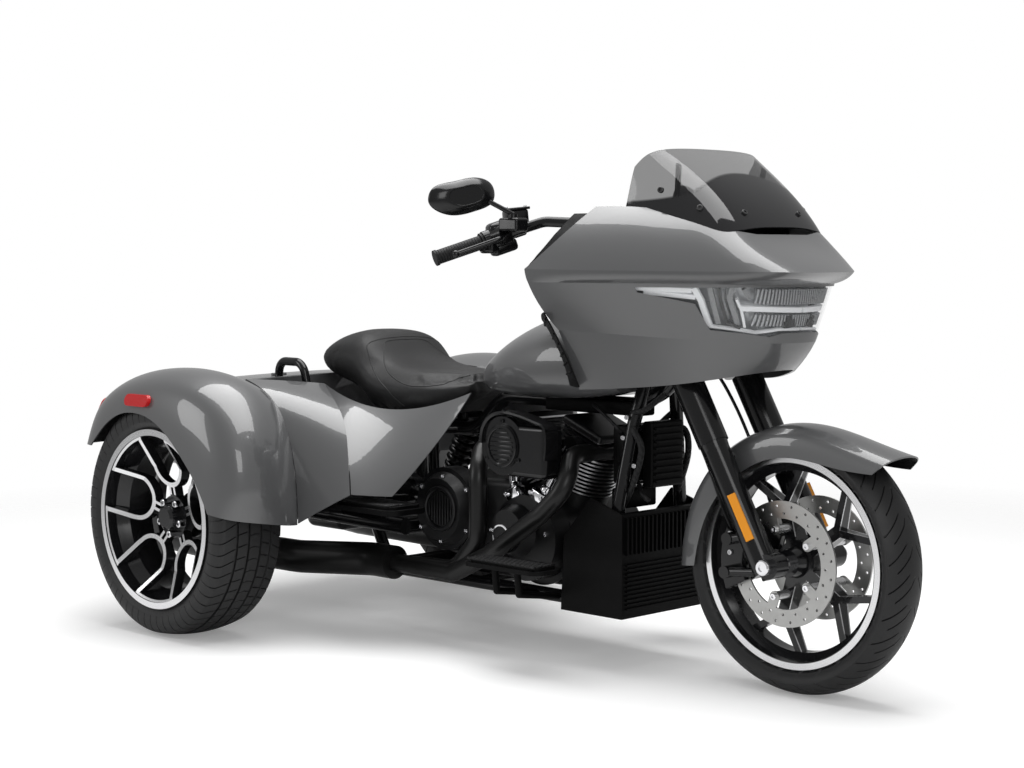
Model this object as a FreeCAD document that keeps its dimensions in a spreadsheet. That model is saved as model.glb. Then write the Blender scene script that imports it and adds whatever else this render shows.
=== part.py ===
import FreeCAD, Part
import math
import os
from FreeCAD import Placement, Rotation
from FreeCAD import Vector as V

# Motor trike: one steered front wheel, a V-twin in a tube frame, two driven rear wheels
# under bulbous fenders, a boot between them, and a frame-mounted fairing.
# X runs forward, Y to the rider's left, Z up. The origin is on the floor under the
# middle of the overall length. Millimetres.

doc = FreeCAD.newDocument("trike")
sheet = doc.addObject("Spreadsheet::Sheet", "Sizes")

SIZES = {
    # layout
    "WheelBase": 1670,
    "RearOverhang": 490,
    "RearTrack": 1184,
    # front wheel
    "FrontTyreRadius": 319,
    "FrontTyreWidth": 132,
    "FrontRimRadius": 254,
    "FrontRimWidth": 100,
    "FrontHubRadius": 38,
    "FrontHubWidth": 116,
    "DiscRadius": 150,
    "DiscThick": 5,
    "DiscOffset": 72,
    "DiscBoltRadius": 84,
    # rear wheels
    "RearTyreRadius": 325,
    "RearTyreWidth": 216,
    "RearRimRadius": 246,
    "RearRimWidth": 208,
    "RearHubRadius": 38,
    "SpokeCount": 5,
    "ForkArcRadius": 60,
    "SpokeWidth": 12,
    # steering
    "Rake": 26,
    "Trail": 101,
    "ForkAngle": 29.25,
    "ForkSpread": 232,
    "SliderRadius": 33,
    "SliderLength": 327,
    "ForkCoverRadius": 38,
    "ForkTubeRadius": 24.5,
    "AxleRadius": 12.5,
    "HeadLow": 790,
    "HeadHigh": 955,
    "HeadRadius": 34,
    "StemRadius": 15,
    "ClampThick": 30,
    "BarRadius": 13,
    "GripRadius": 18,
    "GripLength": 125,
    "MirrorWidth": 184,
    "MirrorHeight": 88,
    # front mudguard
    "GuardGap": 20,
    "GuardHalfWidth": 79,
    "SheetThick": 4,
    # frame and engine
    "TubeRadius": 17,
    "SpineRadius": 20,
    "SpineHeight": 662,
    "RailSpread": 250,
    "RailHeight": 150,
    "JackPlate": 90,
    "CylinderAngle": 22.5,
    "CylinderBore": 56,
    "FinRadius": 78,
    "FinCount": 10,
    "FinPitch": 10.5,
    "CrankHeight": 300,
    "CrankcaseRadius": 118,
    "HeaderRadius": 24,
    "MufflerRadius": 46,
    # bodywork
    "PanelThick": 4,
    "ScreenThick": 4,
    "TankHalfWidth": 168,
    "SeatHalfWidth": 202,
    "BodyHalfWidth": 468,
    "FenderOverhang": 121,
    "FenderCrown": 748,
    "PlateSpacing": 178,
    "PlateHoleRadius": 3.3,
    # fits
    "Fit": 0.3,
    "RunningFit": 0.05,
}
for row, (alias, value) in enumerate(SIZES.items(), 1):
    sheet.set(f"A{row}", alias)
    sheet.set(f"B{row}", str(value))
    sheet.setAlias(f"B{row}", alias)
doc.recompute()


def size(alias):
    return float(getattr(sheet, alias))


front_x = (size("RearOverhang") + size("WheelBase") - size("FrontTyreRadius")) / 2
rear_x = front_x - size("WheelBase")
front_z = size("FrontTyreRadius")
rear_z = size("RearTyreRadius")
fit = size("Fit")
FRONT_X = "(Sizes.RearOverhang + Sizes.WheelBase - Sizes.FrontTyreRadius) / 2"
REAR_X = "(Sizes.RearOverhang - Sizes.WheelBase - Sizes.FrontTyreRadius) / 2"


def at_front(x, y, z):
    """A point given forward of the front axle."""
    return V(front_x + x, y, z)


def at_rear(x, y, z):
    """A point given forward of the rear axle."""
    return V(rear_x + x, y, z)


# Shapes shared by several pieces


def node(label, shape):
    """A sub-part whose shape is made by Part's own functions."""
    feature = doc.addObject("Part::Feature", label)
    feature.Label = label
    feature.Shape = shape
    return feature


def smooth(points, closed=False):
    curve = Part.BSplineCurve()
    curve.interpolate(Points=points, PeriodicFlag=closed)
    return curve.toShape()


def mirror_y(shape):
    return shape.mirror(V(0, 0, 0), V(0, 1, 0))


def fuse(shapes):
    whole = shapes[0].multiFuse(shapes[1:])
    return whole.removeSplitter()


def rod(start, end, radius):
    """A solid bar from one point to another."""
    along = end - start
    return Part.makeCylinder(radius, along.Length, start, along)


def bent_path(points, bend):
    """Straight runs joined by tangent arcs."""
    edges = []
    last = points[0]
    for before, corner, after in zip(points, points[1:], points[2:]):
        inward = (before - corner).normalize()
        outward = (after - corner).normalize()
        half = inward.getAngle(outward) / 2
        run = min((before - corner).Length, (after - corner).Length) * 0.48
        reach = min(bend / math.tan(half), run)
        radius = reach * math.tan(half)
        a = corner + inward * reach
        b = corner + outward * reach
        middle = (inward + outward).normalize()
        centre = corner + middle * (radius / math.sin(half))
        c = centre - middle * radius
        edges.append(Part.LineSegment(last, a).toShape())
        edges.append(Part.Arc(a, c, b).toShape())
        last = b
    edges.append(Part.LineSegment(last, points[-1]).toShape())
    return Part.Wire(edges)


def bent_tube(points, radius, bend):
    path = bent_path(points, bend)
    start = path.Edges[0]
    ring = Part.Circle(start.valueAt(start.FirstParameter), start.tangentAt(start.FirstParameter), radius)
    return path.makePipeShell([Part.Wire(ring.toShape())], True, False)


def prism_y(points, y_low, y_high):
    """A straight-sided outline in X and Z, drawn out along Y. Points are (x, z)."""
    wire = Part.makePolygon([V(x, y_low, z) for x, z in points + points[:1]])
    return Part.Face(wire).extrude(V(0, y_high - y_low, 0))


def prism_x(points, x_low, x_high):
    """A straight-sided outline in Y and Z, drawn out along X. Points are (y, z)."""
    wire = Part.makePolygon([V(x_low, y, z) for y, z in points + points[:1]])
    return Part.Face(wire).extrude(V(x_high - x_low, 0, 0))


def block(low, high):
    return Part.makeBox(high.x - low.x, high.y - low.y, high.z - low.z, low)


def softened(shape, radius):
    """Every edge rounded, by as much as the shape takes."""
    for share in (1.0, 0.6, 0.3):
        try:
            rounded = shape.makeFillet(radius * share, shape.Edges)
            if rounded.isValid() and rounded.Volume > 0:
                return rounded
        except Part.OCCError:
            continue
    return shape


# Features shared by several Bodies


def origin_plane(body, role):
    return next(f for f in body.Origin.OriginFeatures if f.Role == role)


def body_sketch(body, name, role, geometry):
    sketch = body.newObject("Sketcher::SketchObject", name)
    sketch.AttachmentSupport = [(origin_plane(body, role), "")]
    sketch.MapMode = "FlatFace"
    sketch.addGeometry(geometry, False)
    return sketch


def lines(points):
    """A closed outline of straight lines through (x, y) pairs."""
    return [
        Part.LineSegment(V(a[0], a[1], 0), V(b[0], b[1], 0))
        for a, b in zip(points, points[1:] + points[:1])
    ]


def turned(body, name, geometry):
    """Turns a profile of radius and offset about the body's Y axis."""
    sketch = body_sketch(body, name + "_profile", "XY_Plane", geometry)
    turn = body.newObject("PartDesign::Revolution", name)
    turn.Profile = sketch
    turn.ReferenceAxis = (sketch, ["V_Axis"])
    turn.Angle = 360
    body.Tip = turn
    doc.recompute()
    return turn


def window(body, name, geometry, count_expression):
    """A window cut right through along Y, repeated round the axle."""
    sketch = body_sketch(body, name + "_outline", "XZ_Plane", geometry)
    cut = body.newObject("PartDesign::Pocket", name)
    cut.Profile = sketch
    cut.Type = "ThroughAll"
    cut.Midplane = True
    body.Tip = cut
    doc.recompute()
    ring = body.newObject("PartDesign::PolarPattern", name + "_ring")
    ring.Originals = [cut]
    ring.Axis = (sketch, ["N_Axis"])
    ring.Angle = 360
    ring.setExpression("Occurrences", count_expression)
    body.Tip = ring
    doc.recompute()
    return ring


def new_body(label, x="0", y="0", z="0"):
    body = doc.addObject("PartDesign::Body", label)
    body.Label = label
    body.setExpression("Placement.Base.x", x)
    body.setExpression("Placement.Base.y", y)
    body.setExpression("Placement.Base.z", z)
    return body


def turn_point(point, angle):
    c, s = math.cos(angle), math.sin(angle)
    return (point[0] * c - point[1] * s, point[0] * s + point[1] * c)


def arc_to(start, through, end):
    return Part.Arc(V(start[0], start[1], 0), V(through[0], through[1], 0), V(end[0], end[1], 0))


def line_to(start, end):
    return Part.LineSegment(V(start[0], start[1], 0), V(end[0], end[1], 0))


# Wheels


def tyre_profile(outer, shoulder, belly, flange, bead_half, crown_drop, wall):
    """A tyre's hollow section: crown, two sidewalls that bulge past the rim, two beads."""
    seat = flange - BEAD_DEPTH + size("Fit")
    bead_top = flange + 2
    shoulder_r = outer - crown_drop

    def side(sign, inset):
        low = (bead_top, sign * (bead_half - inset))
        mid = ((shoulder_r - inset + bead_top) / 2, sign * (belly - inset))
        top = (shoulder_r - inset, sign * (shoulder - inset))
        return low, mid, top

    edges = []
    for sign in (1, -1):
        low, mid, top = side(sign, 0)
        low_in, mid_in, top_in = side(sign, wall)
        foot = (seat, sign * bead_half)
        foot_in = (seat, sign * (bead_half - wall))
        edges += [arc_to(top, mid, low), line_to(low, foot), line_to(foot, foot_in)]
        edges += [line_to(foot_in, low_in), arc_to(low_in, mid_in, top_in)]
    edges.append(arc_to((shoulder_r, shoulder), (outer, 0), (shoulder_r, -shoulder)))
    inner_r = shoulder_r - wall
    inner_y = shoulder - wall
    edges.append(arc_to((inner_r, inner_y), (outer - wall, 0), (inner_r, -inner_y)))
    return edges


BEAD_DEPTH = 12
FLANGE = 5


def barrel_profile(flange, half_width, wall, well):
    """The rim's rolled barrel: two flanges, two bead seats and the drop centre."""
    seat = flange - BEAD_DEPTH
    return [
        (flange, half_width),
        (flange, half_width - FLANGE),
        (seat, half_width - FLANGE - 2),
        (seat - 2, half_width * 0.62),
        (well, half_width * 0.38),
        (well, -half_width * 0.38),
        (seat - 2, -half_width * 0.62),
        (seat, -(half_width - FLANGE - 2)),
        (flange, -(half_width - FLANGE)),
        (flange, -half_width),
        (seat - 5, -half_width),
        (seat - 2 - wall, -half_width * 0.66),
        (well - wall, -half_width * 0.36),
        (well - wall, half_width * 0.36),
        (seat - 2 - wall, half_width * 0.66),
        (seat - 5, half_width),
    ]


def build_front_wheel():
    count = int(size("SpokeCount"))
    pitch = 2 * math.pi / count
    flange = size("FrontRimRadius")
    half = size("FrontRimWidth") / 2
    well = flange - 30
    inside = well - 7
    hub = size("FrontHubRadius")
    hub_half = size("FrontHubWidth") / 2
    axle_hole = size("AxleRadius") + size("RunningFit")
    rim = new_body("front_rim", FRONT_X, "0", "Sizes.FrontTyreRadius")
    # the spoke disc, thick at the hub and thin at the barrel
    turned(
        rim,
        "spoke_disc",
        lines([(hub, 26), (inside + 3, 13), (inside + 3, -13), (hub, -26)]),
    )
    # each spoke is a Y: a stem out to the fork, then two arms
    fork_at = flange * 0.53
    arm_angle = math.radians(18)
    arm_half = 8
    stem_half = 15
    rim_point = V(inside * math.cos(arm_angle), inside * math.sin(arm_angle), 0)
    along = (rim_point - V(fork_at, 0, 0)).normalize()
    across = V(-along.y, along.x, 0)
    start_in = V(fork_at, 0, 0) - across * arm_half
    apex = start_in.x - start_in.y / along.y * along.x

    def on_circle(start, radius):
        b = start.x * along.x + start.y * along.y
        c = start.x**2 + start.y**2 - radius**2
        return start + along * (-b + math.sqrt(b * b - c))

    reach = on_circle(start_in, inside)
    middle = (inside, 0)
    aim = math.pi / count
    outline = [(apex, 0), (reach.x, reach.y), middle, (reach.x, -reach.y)]
    p = [turn_point(q, aim) for q in outline]
    window(
        rim,
        "fork_window",
        [line_to(p[0], p[1]), arc_to(p[1], p[2], p[3]), line_to(p[3], p[0])],
        "Sizes.SpokeCount",
    )
    start_out = V(fork_at, 0, 0) + across * arm_half
    knee = (start_out.x + (stem_half - start_out.y) / along.y * along.x, stem_half)
    tip = on_circle(start_out, inside)
    base_r = hub + 14
    base = (math.sqrt(base_r**2 - stem_half**2), stem_half)
    near = [base, knee, (tip.x, tip.y)]
    far = [turn_point((q[0], -q[1]), pitch) for q in reversed(near)]
    mid_out = turn_point((inside, 0), pitch / 2)
    mid_in = turn_point((base_r, 0), pitch / 2)
    p = [turn_point(q, aim) for q in near + [mid_out] + far + [mid_in]]
    window(
        rim,
        "spoke_window",
        [
            line_to(p[0], p[1]),
            line_to(p[1], p[2]),
            arc_to(p[2], p[3], p[4]),
            line_to(p[4], p[5]),
            line_to(p[5], p[6]),
            arc_to(p[6], p[7], p[0]),
        ],
        "Sizes.SpokeCount",
    )
    turned(rim, "barrel", lines(barrel_profile(flange, half, 7, well)))
    turned(
        rim,
        "hub",
        lines(
            [
                (axle_hole, hub_half),
                (hub - 6, hub_half),
                (hub, 30),
                (hub + 2, 20),
                (hub + 2, -20),
                (hub, -30),
                (hub - 6, -hub_half),
                (axle_hole, -hub_half),
            ]
        ),
    )
    # bosses that carry the two brake discs, one on each spoke
    boss_top = size("DiscOffset") - size("DiscThick") / 2 - fit
    boss = body_sketch(
        rim,
        "disc_boss_outline",
        "XZ_Plane",
        [Part.Circle(V(*turn_point((size("DiscBoltRadius"), 0), aim), 0), V(0, 0, 1), 11)],
    )
    pad = rim.newObject("PartDesign::Pad", "disc_boss")
    pad.Profile = boss
    pad.Midplane = True
    pad.Length = 2 * boss_top
    pad.setExpression("Length", "2 * Sizes.DiscOffset - Sizes.DiscThick - 2 * Sizes.Fit")
    rim.Tip = pad
    doc.recompute()
    ring = rim.newObject("PartDesign::PolarPattern", "disc_boss_ring")
    ring.Originals = [pad]
    ring.Axis = (boss, ["N_Axis"])
    ring.Angle = 360
    ring.setExpression("Occurrences", "Sizes.SpokeCount")
    rim.Tip = ring
    doc.recompute()

    tyre = new_body("front_tyre", FRONT_X, "0", "Sizes.FrontTyreRadius")
    turned(
        tyre,
        "carcass",
        tyre_profile(
            size("FrontTyreRadius"),
            size("FrontTyreWidth") / 2,
            (size("FrontTyreWidth") / 2 + half) / 2 + 2,
            flange,
            half - FLANGE - 2 - fit,
            34,
            12,
        ),
    )
    return rim, tyre


def build_front_discs():
    """Two drilled discs, each held by tabs on the wheel's bosses."""
    count = int(size("SpokeCount"))
    outer = size("DiscRadius")
    inner = outer - 42
    thick = size("DiscThick")
    bolt_at = size("DiscBoltRadius")
    centre = at_front(0, 0, front_z)
    discs = []
    for side in (-1, 1):
        base = centre + V(0, side * size("DiscOffset") - thick / 2, 0)
        ring = Part.makeCylinder(outer, thick, base, V(0, 1, 0))
        ring = ring.cut(Part.makeCylinder(inner, thick, base, V(0, 1, 0)))
        for k in range(count):
            turn = -360 * (k + 0.5) / count
            tab = Part.makeBox(inner + 4 - bolt_at, thick, 26, base + V(bolt_at, 0, -13))
            tab = tab.fuse(Part.makeCylinder(13, thick, base + V(bolt_at, 0, 0), V(0, 1, 0)))
            tab = tab.cut(Part.makeCylinder(4.2, thick, base + V(bolt_at, 0, 0), V(0, 1, 0)))
            tab.rotate(centre, V(0, 1, 0), turn)
            ring = ring.fuse(tab)
        holes = []
        for row, radius in enumerate((inner + 12, outer - 12)):
            for k in range(4 * count):
                turn = 360 * (k + 0.5 * row) / (4 * count)
                hole = Part.makeCylinder(3.4, thick, base + V(radius, 0, 0), V(0, 1, 0))
                hole.rotate(centre, V(0, 1, 0), turn)
                holes.append(hole)
        discs.append(ring.cut(Part.Compound(holes)).removeSplitter())
    return node("front_discs", Part.Compound(discs))


def rear_wheel_bodies(side_name, side):
    """A deep-dish rim with tuning-fork spokes, and its tyre. Local +Y faces outwards."""
    count = int(size("SpokeCount"))
    pitch = 2 * math.pi / count
    flange = size("RearRimRadius")
    half = size("RearRimWidth") / 2
    well = flange - 34
    arc = size("ForkArcRadius")
    half_bar = size("SpokeWidth") / 2
    hub = size("RearHubRadius")
    plate = hub + 20
    arc_at = 149
    y = f"{side} * Sizes.RearTrack / 2"
    rim = new_body(f"rear_rim_{side_name}", REAR_X, y, "Sizes.RearTyreRadius")
    rim.Placement.Rotation = Rotation(V(0, 0, 1), 0 if side > 0 else 180)
    lip_in = flange - BEAD_DEPTH - 2
    lip_y = half - 2
    # the dish: its front face runs from the hub out to the lip, deep at the hub
    turned(
        rim,
        "dish",
        lines(
            [
                (hub - 6, 30),
                (plate, 32),
                (arc_at, 50),
                (flange - 26, lip_y - 4),
                (lip_in, lip_y),
                (lip_in, lip_y - 16),
                (flange - 34, half - 40),
                (arc_at, 22),
                (plate, 6),
                (hub - 6, 2),
            ]
        ),
    )
    aim = math.pi / 2
    inner_r = arc - half_bar
    outer_r = arc + half_bar
    cut_out = lip_in + 1

    def corner(offset, radius):
        return (math.sqrt(radius**2 - offset**2), offset)

    a = [(arc_at, inner_r), (arc_at - inner_r, 0), (arc_at, -inner_r)]
    b = [corner(-inner_r, cut_out), (cut_out, 0), corner(inner_r, cut_out)]
    p = [turn_point(q, aim) for q in a + b]
    window(
        rim,
        "fork_window",
        [arc_to(p[0], p[1], p[2]), line_to(p[2], p[3]), arc_to(p[3], p[4], p[5]), line_to(p[5], p[0])],
        "Sizes.SpokeCount",
    )
    stem = 13
    ring_in = flange - 24
    meet = (arc_at - math.sqrt(outer_r**2 - stem**2), stem)
    sweep = math.radians(50)
    mid_arc = (arc_at - outer_r * math.cos(sweep), outer_r * math.sin(sweep))
    near = [corner(stem, plate), meet, mid_arc, (arc_at, outer_r), corner(outer_r, ring_in)]
    far = [turn_point((q[0], -q[1]), pitch) for q in reversed(near)]
    mid_out = turn_point((ring_in, 0), pitch / 2)
    mid_in = turn_point((plate, 0), pitch / 2)
    near = [turn_point(q, aim) for q in near]
    far = [turn_point(q, aim) for q in far]
    mid_out = turn_point(mid_out, aim)
    mid_in = turn_point(mid_in, aim)
    window(
        rim,
        "spoke_window",
        [
            line_to(near[0], near[1]),
            arc_to(near[1], near[2], near[3]),
            line_to(near[3], near[4]),
            arc_to(near[4], mid_out, far[0]),
            line_to(far[0], far[1]),
            arc_to(far[1], far[2], far[3]),
            line_to(far[3], far[4]),
            arc_to(far[4], mid_in, near[0]),
        ],
        "Sizes.SpokeCount",
    )
    slot = [(plate + 3, 5), (arc_at - outer_r - 1, 5), (arc_at - outer_r - 1, -5), (plate + 3, -5)]
    window(rim, "stem_slot", lines([turn_point(q, aim) for q in slot]), "Sizes.SpokeCount")
    turned(rim, "barrel", lines(barrel_profile(flange, half, 8, well)))
    bore = size("AxleRadius") + 10 + size("RunningFit")
    turned(
        rim,
        "hub",
        lines(
            [
                (0, 64),
                (26, 64),
                (34, 58),
                (hub - 2, 30),
                (plate + 1, 30),
                (plate + 1, 4),
                (hub + 6, -6),
                (hub + 6, -24),
                (bore, -24),
                (bore, 14),
                (0, 14),
            ]
        ),
    )
    tyre = new_body(f"rear_tyre_{side_name}", REAR_X, y, "Sizes.RearTyreRadius")
    turned(
        tyre,
        "carcass",
        tyre_profile(
            size("RearTyreRadius"),
            size("RearTyreWidth") * 0.43,
            size("RearTyreWidth") / 2,
            flange,
            half - FLANGE - 2 - fit,
            12,
            14,
        ),
    )
    return rim, tyre


def build_rear_wheels():
    for side_name, side in (("left", 1), ("right", -1)):
        rear_wheel_bodies(side_name, side)


# Panels and solids drawn through stations


def grid_normal(rows, i, j):
    """The direction square to a grid of points at one of them, from its neighbours."""
    last_row, last_point = len(rows) - 1, len(rows[0]) - 1
    down = rows[min(i + 1, last_row)][j] - rows[max(i - 1, 0)][j]
    along = rows[i][min(j + 1, last_point)] - rows[i][max(j - 1, 0)]
    return down.cross(along).normalize()


def clamped_knots(count, degree):
    spans = count - degree
    return [degree + 1] + [1] * (spans - 1) + [degree + 1], [float(k) for k in range(spans + 1)]


def net_surface(rows):
    """A smooth surface drawn towards a net of points, and held to it at the edges."""
    across, along = min(3, len(rows) - 1), min(3, len(rows[0]) - 1)
    mults_u, knots_u = clamped_knots(len(rows), across)
    mults_v, knots_v = clamped_knots(len(rows[0]), along)
    surface = Part.BSplineSurface()
    surface.buildFromPolesMultsKnots(rows, mults_u, mults_v, knots_u, knots_v, False, False, across, along)
    return surface


def inset_rows(rows, distance, inside):
    """The same net, moved square to itself towards a point inside."""
    i, j = len(rows) // 2, len(rows[0]) // 2
    inward = distance if grid_normal(rows, i, j).dot(inside - rows[i][j]) > 0 else -distance
    return [
        [point + grid_normal(rows, i, j) * inward for j, point in enumerate(row)]
        for i, row in enumerate(rows)
    ]


def panel(rows, thickness, inside, creases=(), depth=0.0, first=0, last=None):
    """A curved sheet laid a depth under a net of points, with its thickness towards a point inside.
    The sheet is smooth between creases, and only the rows from first to last are drawn."""
    last = len(rows) - 1 if last is None else last
    outer_rows = inset_rows(rows, depth, inside)
    inner_rows = inset_rows(rows, depth + thickness, inside)
    breaks = [first] + [k for k in creases if first < k < last] + [last]
    faces = []
    for start, end in zip(breaks, breaks[1:]):
        outer = net_surface(outer_rows[start : end + 1])
        inner = net_surface(inner_rows[start : end + 1])
        faces += [outer.toShape(), inner.toShape()]
        u0, u1, v0, v1 = outer.bounds()
        for v in (v0, v1):
            faces.append(Part.makeRuledSurface(outer.vIso(v).toShape(), inner.vIso(v).toShape()))
        if start == first:
            faces.append(Part.makeRuledSurface(outer.uIso(u0).toShape(), inner.uIso(u0).toShape()))
        if end == last:
            faces.append(Part.makeRuledSurface(outer.uIso(u1).toShape(), inner.uIso(u1).toShape()))
    shell = Part.makeShell(faces)
    shell.sewShape()
    solid = Part.makeSolid(Part.makeShell(shell.Faces))
    if solid.Volume < 0:
        solid.reverse()
    return solid


def largest(shape):
    return max(shape.Solids, key=lambda solid: solid.Volume)


def peg_to(start, reach, radius, sheet_zone):
    """A peg drawn sideways from a point until it meets a sheet."""
    peg = rod(start, V(start.x, math.copysign(reach, start.y), start.z), radius)
    return min(peg.cut(sheet_zone).Solids, key=lambda solid: abs(solid.CenterOfMass.y))


def both_sides(right_half):
    """A row given from the middle to the right, made whole. Points are (x, out, z)."""
    right = [at_front(x, -out, z) for x, out, z in right_half]
    left = [V(p.x, -p.y, p.z) for p in right[1:]]
    return left[::-1] + right


def section_points(x, half, bottom, top, middle, shoulder, belly):
    """A rounded closed section across the trike: flat-bottomed, crowned or dished on top."""
    height = top - bottom
    points = [
        (half * shoulder, top),
        (half * 0.98, bottom + height * 0.74),
        (half * 1.04, bottom + height * belly),
        (half * 0.93, bottom),
        (half * 0.45, bottom),
    ]
    right = [at_front(x, -y, z) for y, z in points]
    left = [V(p.x, -p.y, p.z) for p in right][::-1]
    return [at_front(x, 0, middle)] + right + [at_front(x, 0, bottom)] + left


def sections_solid(stations, shoulder, belly):
    """A smooth solid drawn over closed sections, with flat ends."""
    rows = [section_points(*station, shoulder, belly) for station in stations]
    round_count = len(rows[0])
    mults, knots = clamped_knots(len(rows), 3)
    surface = Part.BSplineSurface()
    ring = [float(k) for k in range(round_count + 1)]
    surface.buildFromPolesMultsKnots(rows, mults, [1] * len(ring), knots, ring, False, True, 3, 3)
    u0, u1, v0, v1 = surface.bounds()
    faces = [surface.toShape()]
    for u in (u0, u1):
        faces.append(Part.Face(Part.Wire(surface.uIso(u).toShape())))
    shell = Part.makeShell(faces)
    shell.sewShape()
    solid = Part.makeSolid(Part.makeShell(shell.Faces))
    if solid.Volume < 0:
        solid.reverse()
    return solid


# Steering


def axis_point(z):
    """Where the steering axis passes a height."""
    return at_front(size("Trail") - z * math.tan(math.radians(size("Rake"))), 0, z)


def leg_point(z, out):
    """Where a fork leg's middle line passes a height."""
    lean = math.tan(math.radians(size("ForkAngle")))
    return at_front(-21 - (z - 313) * lean, out, z)


steer_dir = V(-math.sin(math.radians(size("Rake"))), 0, math.cos(math.radians(size("Rake"))))
leg_dir = V(-math.sin(math.radians(size("ForkAngle"))), 0, math.cos(math.radians(size("ForkAngle"))))
fork_out = size("ForkSpread") / 2


def build_triple_clamps():
    """Upper and lower clamps round both fork legs, and the stem between them."""
    thick = size("ClampThick")
    solids = []
    for z, radius in ((size("HeadLow") - 20, 54), (size("HeadHigh") + 18, 42)):
        middle = axis_point(z)
        solids.append(Part.makeCylinder(46, thick, middle - steer_dir * thick / 2, steer_dir))
        for side in (-1, 1):
            foot = leg_point(z, side * fork_out)
            eye = Part.makeCylinder(radius, thick, foot - leg_dir * thick / 2, leg_dir)
            solids.append(eye)
            across = V(foot.x - middle.x, foot.y, foot.z - middle.z)
            arm = Part.makeBox(across.Length, 58, thick * 0.8, V(0, -29, -thick * 0.4))
            arm.Placement = Placement(middle, Rotation(across, steer_dir.cross(across), steer_dir, "XZY"))
            solids.append(arm)
    low = axis_point(size("HeadLow") - 20)
    high = axis_point(size("HeadHigh") + 18)
    solids.append(rod(low, high, size("StemRadius")))
    for side in (-1, 1):
        foot = axis_point(size("HeadHigh") + 18) + V(0, side * 44, 0)
        solids.append(rod(foot, foot + steer_dir * 104, 19))
    whole = fuse(solids)
    for side in (-1, 1):
        low_leg = leg_point(size("HeadLow") - 90, side * fork_out)
        high_leg = leg_point(size("HeadHigh") + 80, side * fork_out)
        whole = whole.cut(rod(low_leg, high_leg, size("ForkTubeRadius") + fit))
    whole = whole.cut(rod(bar_middle() - V(0, 90, 0), bar_middle() + V(0, 90, 0), size("BarRadius") + size("RunningFit")))
    return node("triple_clamps", whole)


def bar_middle():
    return axis_point(size("HeadHigh") + 18) + steer_dir * 104


def build_fork_legs():
    """Upside-down look: a long dark cover over the tube, and the slider with its axle clamp."""
    slider = size("SliderRadius")
    cover = size("ForkCoverRadius")
    legs = []
    for side in (1, -1):
        out = side * fork_out
        foot = leg_point(front_z - 18, out)
        top = foot + leg_dir * size("SliderLength")
        parts = [rod(foot, top, slider)]
        parts.append(Part.makeCone(slider, cover - 3, 22, top - leg_dir * 8, leg_dir))
        cover_top = leg_point(size("HeadLow") - 44, out)
        parts.append(rod(top + leg_dir * 10, cover_top, cover))
        tube_top = leg_point(size("HeadHigh") + 48, out)
        parts.append(rod(cover_top, tube_top, size("ForkTubeRadius")))
        parts.append(rod(tube_top, tube_top + leg_dir * 8, 20))
        axle = at_front(0, out, front_z)
        clamp = Part.makeCylinder(30, 46, axle - V(0, 23, 0), V(0, 1, 0))
        parts.append(clamp)
        for degrees in (158, 192):
            turn = math.radians(degrees)
            lug = axle + V(139 * math.cos(turn), 0, 139 * math.sin(turn))
            face = V(lug.x, side * (size("DiscOffset") + 24 + fit), lug.z)
            parts.append(rod(leg_point(lug.z + 12, out), lug, 11))
            parts.append(rod(lug + V(0, side * 13, 0), face, 15))
        leg = fuse(parts)
        leg = leg.cut(rod(axle - V(0, 60, 0), axle + V(0, 60, 0), size("AxleRadius") + size("RunningFit")))
        face = axle + V(0, side * 23, 0)
        leg = leg.cut(rod(face, face + V(0, side * 40, 0), size("AxleRadius") + 9))
        legs.append(leg)
    return node("fork_legs", Part.Compound(legs))


def build_front_axle():
    reach = fork_out + 36
    radius = size("AxleRadius")
    hub_end = size("FrontHubWidth") / 2
    axle = rod(at_front(0, -reach, front_z), at_front(0, reach, front_z), radius)
    leg_face = fork_out - size("SliderRadius")
    for side in (-1, 1):
        start = at_front(0, side * (hub_end + fit), front_z)
        end = at_front(0, side * (leg_face - fit), front_z)
        axle = axle.fuse(rod(start, end, radius + 7))
        nut_from = at_front(0, side * (fork_out + 23 + fit), front_z)
        nut = rod(nut_from, nut_from + V(0, side * 11, 0), radius + 6)
        axle = axle.fuse(nut)
    return node("front_axle", axle.removeSplitter())


BAR_ROUTE = [(-428, 0, 0), (-428, 104, 0), (-505, 154, 55), (-640, 232, 62), (-735, 312, 22), (-803, 440, -26)]


def bar_points(side):
    middle = bar_middle()
    points = []
    for x, out, rise in BAR_ROUTE[1:]:
        points.append(V(middle.x + x - BAR_ROUTE[0][0], side * out, middle.z + rise))
    return points


def build_handlebar():
    radius = size("BarRadius")
    right = bar_points(-1)
    left = bar_points(1)
    bar = bent_tube(right[::-1] + left, radius, 60)
    return node("handlebar", bar)


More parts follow.
